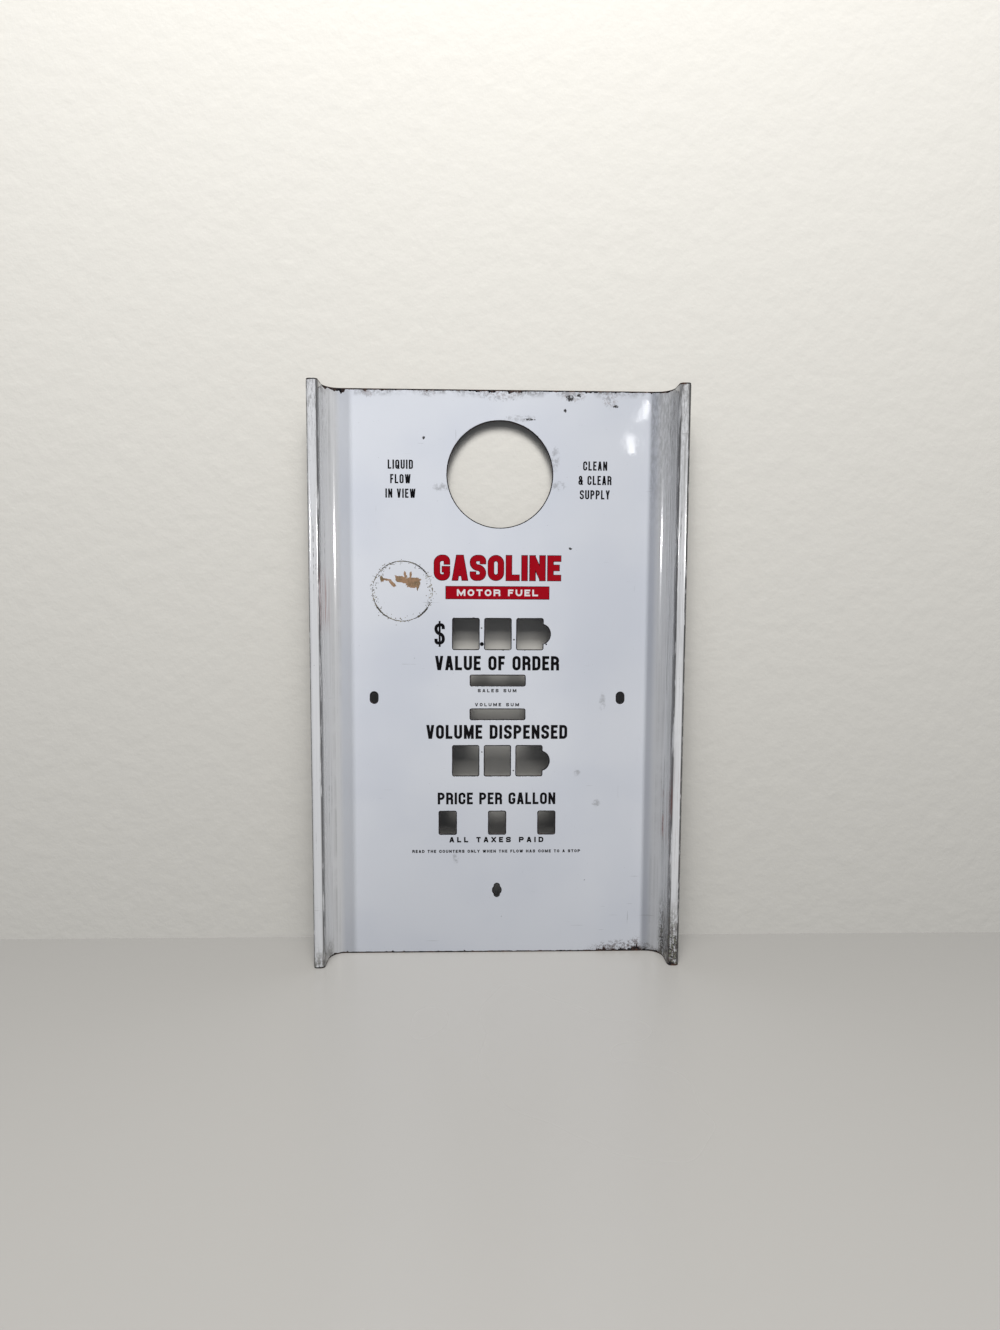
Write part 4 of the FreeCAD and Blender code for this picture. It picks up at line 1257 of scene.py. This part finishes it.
@dataclass(frozen=True)
class OldGlue:
    """Yellowed, dirty glue.

    Attributes:
        pale: the lightest glue.
        dark: the darkest.
        dirt: dirt caught in it.
    """

    pale: Colour = (0.21, 0.175, 0.090)
    dark: Colour = (0.032, 0.028, 0.018)
    dirt: Colour = (0.012, 0.011, 0.010)

    def build(self, seal: Seal) -> bpy.types.Material:
        """Make the finish.

        Args:
            seal: the ring, which is dirtiest at two places.

        Returns:
            The material.
        """
        g = Graph("old_glue")
        across, up = seal.middle
        dirty = g.most(*[
            g.spot((across + seal.radius * math.cos(bearing), up + seal.radius * math.sin(bearing)),
                   (7 * MM, 7 * MM), 0.6)
            for bearing in (math.radians(-46), math.radians(48))
        ])
        colour = g.blend(g.fade(g.noise(300, 4, 0.6), 0.36, 0.60), self.pale, self.dark)
        colour = g.blend(g.times(dirty, 0.85), colour, self.dirt)
        normal = g.bump(g.noise(1500, 3, 0.6), 0.0001, 0.6)
        return g.finish(colour, 0.62, normal)


@dataclass(frozen=True)
class OldPaper:
    """Browned paper, torn thin so that paler fibres show.

    Attributes:
        brown: the lighter paper.
        dark: the darker.
        fibre: fibres where it is torn.
    """

    brown: Colour = (0.31, 0.185, 0.105)
    dark: Colour = (0.17, 0.120, 0.065)
    fibre: Colour = (0.50, 0.40, 0.27)

    def build(self) -> bpy.types.Material:
        """Make the finish.

        Returns:
            The material.
        """
        g = Graph("old_paper")
        colour = g.blend(g.fade(g.noise(210, 5, 0.6), 0.42, 0.62), self.brown, self.dark)
        fibres = g.fade(g.noise(1.0, 3, 0.6, g.stretched((1400, 1400, 300), 0.6)), 0.60, 0.72)
        colour = g.blend(g.times(fibres, 0.7), colour, self.fibre)
        normal = g.bump(g.noise(1100, 4, 0.65), 0.0002, 0.8)
        return g.finish(colour, 0.85, normal)


# ---------------------------------------------------------------------------
# Stage, light and camera
# ---------------------------------------------------------------------------

@dataclass(frozen=True)
class Lamp:
    """A rectangular soft box.

    Attributes:
        name: its name.
        place: where it hangs.
        size: its two sides.
        power: its power in watts.
        tint: its colour.
    """

    name: str
    place: tuple[float, float, float]
    size: tuple[float, float]
    power: float
    tint: Colour = (1.0, 1.0, 1.0)


COOL_TINT = (0.97, 0.98, 1.0)
ROOM_TINT = (1.0, 0.985, 0.95)
PLATE_LAMPS = (
    Lamp("lamp_right", (0.742, -0.95, 0.42), (0.105, 0.105), 7.1, (1.0, 0.99, 0.965)),
    Lamp("lamp_left", (-0.72, -0.75, 0.42), (0.085, 0.085), 3.6, (0.98, 0.985, 1.0)),
    Lamp("fill", (-0.02, -0.58, 0.96), (0.80, 0.26), 3.2, COOL_TINT),
    Lamp("back_fill", (0.3, 1.3, 0.9), (1.2, 0.9), 12.0, COOL_TINT),
)
ROOM_LAMPS = (
    Lamp("room_near", (-0.05, -1.00, 1.75), (0.60, 0.50), 24.0, ROOM_TINT),
    Lamp("room_far", (-0.10, -1.60, 2.00), (2.4, 1.2), 31.0, ROOM_TINT),
)

# Glints on the cover coat: name, place across and up the face, the lamp's size,
# power and turn; and how far in front of the face those lamps hang
GLINTS = (
    ("glint_low", (0.0945, 0.4070), (0.011, 0.034), 0.016, 0.05),
    ("glint_high", (0.1068, 0.4325), (0.003, 0.044), 0.014, -0.62),
)
GLINT_DISTANCE = 0.99

# Clear space between the plate's back and the wall, at the floor and at its top edge
WALL_GAP_FOOT = 0.030
WALL_GAP_TOP = 0.002


@dataclass
class Studio:
    """Plain pale floor and wall, soft lights and the camera.

    Attributes:
        target: the middle of the face, which the lamps point at.
        wall_foot: Y of the wall at the floor.
        wall_top: Y and Z of the wall behind the plate's top edge.
        floor_colour: the floor's paint.
        wall_colour: the wall's paint.
        reach: how far the floor and wall run to each side.
        wall_height: height of the wall.
        air: colour of the light from all round.
        air_strength: its strength.
        lens: the camera's focal length in millimetres.
        sensor: its sensor's width in millimetres.
        look: the direction it looks in.
        upright: the direction that is up in its picture.
        eye_shift: how far it stands right of the middle of the face and behind it.
        eye_height: its height above the floor.
        parts: the floor and the wall, once made.
    """

    target: Vector
    wall_foot: float
    wall_top: tuple[float, float]
    floor_colour: Colour = (0.475, 0.465, 0.45)
    wall_colour: Colour = (0.80, 0.785, 0.75)
    reach: float = 4.0
    wall_height: float = 3.0
    air: Colour = (0.86, 0.89, 0.94)
    air_strength: float = 0.12
    lens: float = 21.25
    sensor: float = 36.0
    look: tuple[float, float, float] = (0.0279, 0.9965, -0.0787)
    upright: tuple[float, float, float] = (-0.0024, 0.0788, 0.9969)
    eye_shift: tuple[float, float] = (-0.0156, -0.6199)
    eye_height: float = 0.2838
    parts: tuple[bpy.types.Object, ...] = ()

    def stage(self) -> None:
        """Lay the floor and stand the wall, which comes closest at the plate's top edge."""
        far = self.reach
        floor = self.plane("stage_floor", ((-far, -far, 0), (far, -far, 0), (far, far, 0), (-far, far, 0)))
        g = Graph("stage_floor")
        cloudy = g.noise(3, 3)
        normal = g.bump(g.noise(60, 3, 0.5), 0.0004, 0.15)
        roughness = g.math("MULTIPLY_ADD", cloudy, 0.12, 0.20)
        floor.data.materials.append(g.finish(self.floor_colour, roughness, normal))
        foot, (lean_y, lean_z) = self.wall_foot, self.wall_top
        high = self.wall_height
        over = foot + (lean_y - foot) * high / lean_z
        wall = self.plane(
            "stage_wall", ((-far, foot, 0), (far, foot, 0), (far, over, high), (-far, over, high)))
        wall.data.materials.append(self.one_sided())
        wall.visible_shadow = False
        wall.visible_diffuse = False
        floor.visible_diffuse = False
        self.parts = (floor, wall)

    def plane(self, name: str, points: tuple[tuple[float, float, float], ...]) -> bpy.types.Object:
        """Make a four-cornered plane."""
        return make_object(name, np.array(points, dtype=float), [np.array([[0, 1, 2, 3]])])

    def one_sided(self) -> bpy.types.Material:
        """Make the wall's paint, which is clear from behind the wall.

        Returns:
            The material.
        """
        g = Graph("stage_wall")
        paint = g.finish(self.wall_colour, 0.7, g.bump(g.noise(70, 4, 0.6), 0.002, 0.25))
        shader = next(node for node in g.tree.nodes if node.type == "BSDF_PRINCIPLED")
        output = next(node for node in g.tree.nodes if node.type == "OUTPUT_MATERIAL")
        back = g.node("ShaderNodeNewGeometry").outputs["Backfacing"]
        clear = g.node("ShaderNodeBsdfTransparent").outputs[0]
        both = g.node("ShaderNodeMixShader", {0: back, 1: shader.outputs[0], 2: clear})
        g.tree.links.new(both.outputs[0], output.inputs[0])
        return paint

    def light(self, lamp: Lamp, aim: Vector | None = None, turn: float = 0.0) -> bpy.types.Object:
        """Hang a soft box, turned towards its aim and then about its own axis.

        Args:
            lamp: the soft box.
            aim: what it points at, if not the middle of the face.
            turn: the turn about its own axis, in radians.

        Returns:
            The light.
        """
        box = bpy.data.lights.new(lamp.name, "AREA")
        box.shape = "RECTANGLE"
        box.size, box.size_y = lamp.size
        box.energy = lamp.power
        box.color = lamp.tint
        made = bpy.data.objects.new(lamp.name, box)
        made.location = lamp.place
        towards = ((aim or self.target) - Vector(lamp.place)).to_track_quat("-Z", "Y")
        made.rotation_euler = (towards.to_matrix() @ Matrix.Rotation(turn, 3, "Z")).to_euler()
        bpy.context.scene.collection.objects.link(made)
        return made

    def reserve(self, lamps: tuple[bpy.types.Object, ...], state: str) -> None:
        """Keep lamps off the floor and wall, or keep them to those alone.

        Args:
            lamps: the lamps.
            state: EXCLUDE or INCLUDE.
        """
        for lamp in lamps:
            group = bpy.data.collections.new(lamp.name + "_stage")
            for part in self.parts:
                group.objects.link(part)
            for member in group.collection_objects:
                member.light_linking.link_state = state
            lamp.light_linking.receiver_collection = group

    def mirrored(self, spot: Vector, away: float) -> Vector:
        """Find where a light must hang to be mirrored at a spot on the face.

        Args:
            spot: the place on the face where the camera sees it.
            away: how far in front of the face it hangs.

        Returns:
            The light's place.
        """
        eye = bpy.context.scene.camera.matrix_world.translation
        image = Vector((eye.x, 2 * spot.y - eye.y, eye.z))
        ray = spot - image
        return spot + ray * (away / abs(ray.y))

    def lights(self) -> None:
        """Light the plate from both sides and above, and the room by itself."""
        lamps = [self.light(lamp) for lamp in PLATE_LAMPS]
        for name, (x, z), size, power, turn in GLINTS:
            spot = Vector((x, self.target.y, z))
            place = tuple(self.mirrored(spot, GLINT_DISTANCE))
            lamps.append(self.light(Lamp(name, place, size, power), spot, turn))
        self.reserve(tuple(lamps), "EXCLUDE")
        self.reserve(tuple(self.light(lamp) for lamp in ROOM_LAMPS), "INCLUDE")
        world = bpy.data.worlds.new("studio")
        world.use_nodes = True
        background = world.node_tree.nodes["Background"]
        background.inputs[0].default_value = (*self.air, 1)
        background.inputs[1].default_value = self.air_strength
        bpy.context.scene.world = world

    def camera(self) -> None:
        """Stand the camera in front, a little left of the middle and above it."""
        lens = bpy.data.cameras.new("camera")
        lens.lens = self.lens
        lens.sensor_width = self.sensor
        made = bpy.data.objects.new("camera", lens)
        forward = Vector(self.look).normalized()
        right = forward.cross(Vector(self.upright)).normalized()
        up = right.cross(forward)
        place = self.target + Vector((*self.eye_shift, 0.0))
        place.z = self.eye_height
        turn = Matrix((right, up, -forward)).transposed().to_4x4()
        made.matrix_world = Matrix.Translation(place) @ turn
        bpy.context.scene.collection.objects.link(made)
        bpy.context.scene.camera = made


# ---------------------------------------------------------------------------
# The whole plate
# ---------------------------------------------------------------------------

class Slot(Enum):
    """The record's material slots."""

    WHITE = "white_enamel"
    GROUND = "ground_enamel"
    GLUE = "old_glue"
    PAPER = "old_paper"


@dataclass
class FacePlate:
    """The enamelled plate, its legends and what is stuck to it.

    Attributes:
        window_radius: corner radius of every window.
        wheel_window: width and height of a number wheel's window.
        total_window: the same of a running total's.
        price_window: the same of a price wheel's.
        notch_radius: radius of the notch beside a last wheel.
        notch_shift: from that window's middle to the notch's.
        side_slot: width and height of a side screw slot.
        foot_slot: the same of the foot's slot.
        foot_eye: diameter of its round eye.
        cover: thickness of the cover coat.
        ground: thickness of each ground coat.
        steel: thickness of the steel.
    """

    window_radius: float = 1.0 * MM
    wheel_window: tuple[float, float] = (20.4 * MM, 24.1 * MM)
    total_window: tuple[float, float] = (43.1 * MM, 8.1 * MM)
    price_window: tuple[float, float] = (13.3 * MM, 18.4 * MM)
    notch_radius: float = 7.9 * MM
    notch_shift: float = 8.1 * MM
    side_slot: tuple[float, float] = (5.6 * MM, 8.8 * MM)
    foot_slot: tuple[float, float] = (3.8 * MM, 10.6 * MM)
    foot_eye: float = 6.6 * MM
    cover: float = 0.20 * MM
    ground: float = 0.12 * MM
    steel: float = 0.95 * MM

    def __post_init__(self) -> None:
        """Read the plate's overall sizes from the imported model."""
        low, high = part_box("cover_coat_white")
        self.height = high.z
        self.face_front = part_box("sale_legend")[1].y
        self.section = Section(high.x, self.face_front, low.y)
        self.sight = self.round_opening(mount_place("sight_glass_hole"), mount_radius("sight_glass_hole"))

    def round_opening(self, place: tuple[float, float], radius: float) -> Opening:
        """Make a round opening."""
        return Opening(*place, (RoundBox(*place, radius, radius, radius),))

    def window(self, name: str, size: tuple[float, float]) -> Opening:
        """Make a square-cut window with slightly round corners.

        Args:
            name: its name in the record.
            size: its width and height.

        Returns:
            The opening.
        """
        across, up = opening_place(name)
        box = RoundBox(across, up, size[0] / 2, size[1] / 2, self.window_radius)
        return Opening(across, up, (box,))

    def notched(self, name: str) -> Opening:
        """Make the last wheel's window, with the round notch at its right.

        Args:
            name: its name in the record.

        Returns:
            The opening.
        """
        plain = self.window(name, self.wheel_window)
        radius = self.notch_radius
        notch = RoundBox(plain.across + self.notch_shift, plain.up, radius, radius, radius)
        return Opening(plain.across, plain.up, (*plain.shapes, notch))

    def slot(self, name: str, size: tuple[float, float], eye: float = 0.0) -> Opening:
        """Make an upright screw slot with round ends.

        Args:
            name: its name in the record.
            size: its width and height.
            eye: diameter of the round eye at its middle, or 0 for none.

        Returns:
            The opening.
        """
        across, up = mount_place(name)
        shapes = [RoundBox(across, up, size[0] / 2, size[1] / 2, size[0] / 2)]
        if eye:
            shapes.append(RoundBox(across, up, eye / 2, eye / 2, eye / 2))
        return Opening(across, up, tuple(shapes))

    def openings(self) -> tuple[Opening, ...]:
        """Make every opening of the face.

        Returns:
            The openings, from the sight glass down.
        """
        found = [self.sight]
        for row in ("sale", "volume"):
            found += [self.window(f"{row}_window_{side}", self.wheel_window) for side in ("left", "middle")]
            found.append(self.notched(f"{row}_window_right"))
            found.append(self.window(f"{row}_total_window", self.total_window))
        found += [self.window(f"price_window_{side}", self.price_window)
                  for side in ("left", "middle", "right")]
        found += [self.slot(f"side_screw_slot_{side}", self.side_slot) for side in ("left", "right")]
        found.append(self.slot("foot_screw_slot", self.foot_slot, self.foot_eye))
        return tuple(found)

    def coats(self) -> None:
        """Make the three coats in place of their plain solids."""
        openings = self.openings()
        behind_ground = self.cover + self.ground
        behind_steel = behind_ground + self.steel
        under = tuple(Chip(c.place, c.half_width * 0.5, c.bite * 0.3) for c in TOP_CHIPS + BOTTOM_CHIPS)
        coats = (
            ("enamel_cover_coat", 0.0, self.cover,
             SheetEdges(openings, COVER_MARGIN, COVER_RIM, TOP_CHIPS, BOTTOM_CHIPS, 11)),
            ("enamel_ground_front", self.cover, behind_ground,
             SheetEdges(openings, FRONT_MARGIN, FRONT_RIM, under, under, 23)),
            ("enamel_ground_back", behind_steel + self.ground, behind_steel,
             SheetEdges(openings, BACK_MARGIN, BACK_RIM, (), (), 37)),
        )
        cover, front, back = (Coat(name, self.section, self.height, *rest) for name, *rest in coats)
        white = WhiteEnamel().build(self.section, self.height, self.sight)
        dark = GroundEnamel()
        for coat, node, material, slot in (
            (cover, "cover_coat_white", white, Slot.WHITE),
            (front, "ground_coat_front", dark.build(self.height, "ground_enamel_front", 0.0), Slot.GROUND),
            (back, "ground_coat_back", dark.build(self.height, "ground_enamel_back", 0.7), Slot.GROUND),
        ):
            place_piece(coat.build(), material, slot, node)

    def seal(self) -> None:
        """Make the remains of the paper seal in place of their plain solids."""
        low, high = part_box("seal_glue_ring")
        middle = ((low.x + high.x) / 2, (low.z + high.z) / 2)
        gauge = high.y - low.y
        seal = Seal(middle, (high.x - low.x) / 2, high.y, gauge)
        place_piece(seal.glue(), OldGlue().build(seal), Slot.GLUE, "seal_glue_ring")
        place_piece(seal.scraps(), OldPaper().build(), Slot.PAPER, "seal_paper_scraps")

    def dress_nodes(self) -> None:
        """Give the carried-over solids their finishes."""
        black = FiredLegend("black_legend", (0.004, 0.004, 0.005), (0.12, 0.12, 0.13)).build()
        red = FiredLegend("red_legend", (0.33, 0.003, 0.010), (0.10, 0.004, 0.006), 0.5).build()
        white = FiredLegend("white_legend", (0.72, 0.71, 0.72), (0.50, 0.24, 0.24), 0.4).build()
        finishes = {
            "steel_core": RustySteel().build(),
            "emblem_word": red,
            "emblem_band": red,
            "emblem_band_legend": white,
        }
        stood_for = {"cover_coat_white", "ground_coat_front", "ground_coat_back",
                     "seal_glue_ring", "seal_paper_scraps"}
        for name, node in frame["nodes"].items():
            if name in stood_for:
                continue
            material = finishes.get(name, black)
            node.data.materials.clear()
            node.data.materials.append(material)
            LOG.info("dressed %s as %s", name, material.name)


# How each coat ends at the sheet's edges, and round the openings
COVER_MARGIN = Margin(setback=1.05 * MM, wander=0.28 * MM, roll=0.16 * MM, bite=1.2 * MM)
COVER_RIM = Margin(setback=0.68 * MM, wander=0.08 * MM, roll=0.16 * MM, bite=0.3 * MM)
FRONT_MARGIN = Margin(setback=0.05 * MM, wander=0.03 * MM, roll=0.05 * MM, bite=0.3 * MM)
FRONT_RIM = Margin(setback=0.05 * MM, wander=0.02 * MM, roll=0.05 * MM, bite=0.1 * MM)
BACK_MARGIN = Margin(setback=0.07 * MM, wander=0.04 * MM, roll=0.06 * MM, bite=0.5 * MM)
BACK_RIM = Margin(setback=0.07 * MM, wander=0.03 * MM, roll=0.06 * MM, bite=0.2 * MM)

# Large chips along the top and bottom edges: distance from the middle along
# the section, half length and depth, in mm
TOP_CHIPS = tuple(Chip(place * MM, half * MM, bite * MM) for place, half, bite in (
    (-129, 12, 2.3), (-120.5, 2.4, 3.6), (-103, 2.6, 1.7), (-98, 1.6, 1.3), (-90, 2.5, 1.2), (-57, 4, 1.6),
    (-16, 5, 1.7), (-6, 4, 2.2), (8, 5, 1.8), (17, 3, 2.4), (40, 2, 1.3), (69, 4, 2.0), (75, 2, 1.5),
    (90, 2, 1.4), (130, 9, 1.3), (152, 3, 1.6),
))
BOTTOM_CHIPS = tuple(Chip(place * MM, half * MM, bite * MM) for place, half, bite in (
    (-121, 1.3, 1.9), (-132, 7, 1.5), (-148, 4, 1.6), (-90, 2, 1.3), (-20, 1.5, 1.2), (60, 2, 1.4),
    (84, 3, 2.2), (88, 2, 3.2), (96, 3, 1.8), (103, 4, 2.2), (110, 3, 3.2), (114.5, 3, 4.8), (119, 3, 2.4),
    (131, 12, 1.3), (145, 4, 2.2), (153, 5, 2.6), (158, 3, 3.6),
))


def place_piece(piece: bpy.types.Object, material: bpy.types.Material, slot: Slot, *nodes: str) -> None:
    """Finish a new piece, ride it on the plate and let it stand for nodes.

    Args:
        piece: the new piece.
        material: its finish.
        slot: the record's slot for that finish; not used.
        nodes: the nodes that it stands for.
    """
    piece.data.materials.append(material)
    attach(piece, "root")
    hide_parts(*nodes)
    LOG.info("made %s with %d faces", piece.name, len(piece.data.polygons))


def main() -> None:
    """Build the scene in order."""
    logging.basicConfig(level=logging.INFO, format="%(name)s: %(message)s")
    plate = FacePlate()
    back = CAD_BOX[1].y
    middle = Vector((0.0, plate.face_front, plate.height / 2))
    studio = Studio(middle, back + WALL_GAP_FOOT, (back + WALL_GAP_TOP, plate.height))
    studio.camera()
    plate.coats()
    plate.seal()
    plate.dress_nodes()
    studio.stage()
    studio.lights()
    bpy.context.scene.view_settings.view_transform = "Standard"


if __name__ == "__main__":
    main()
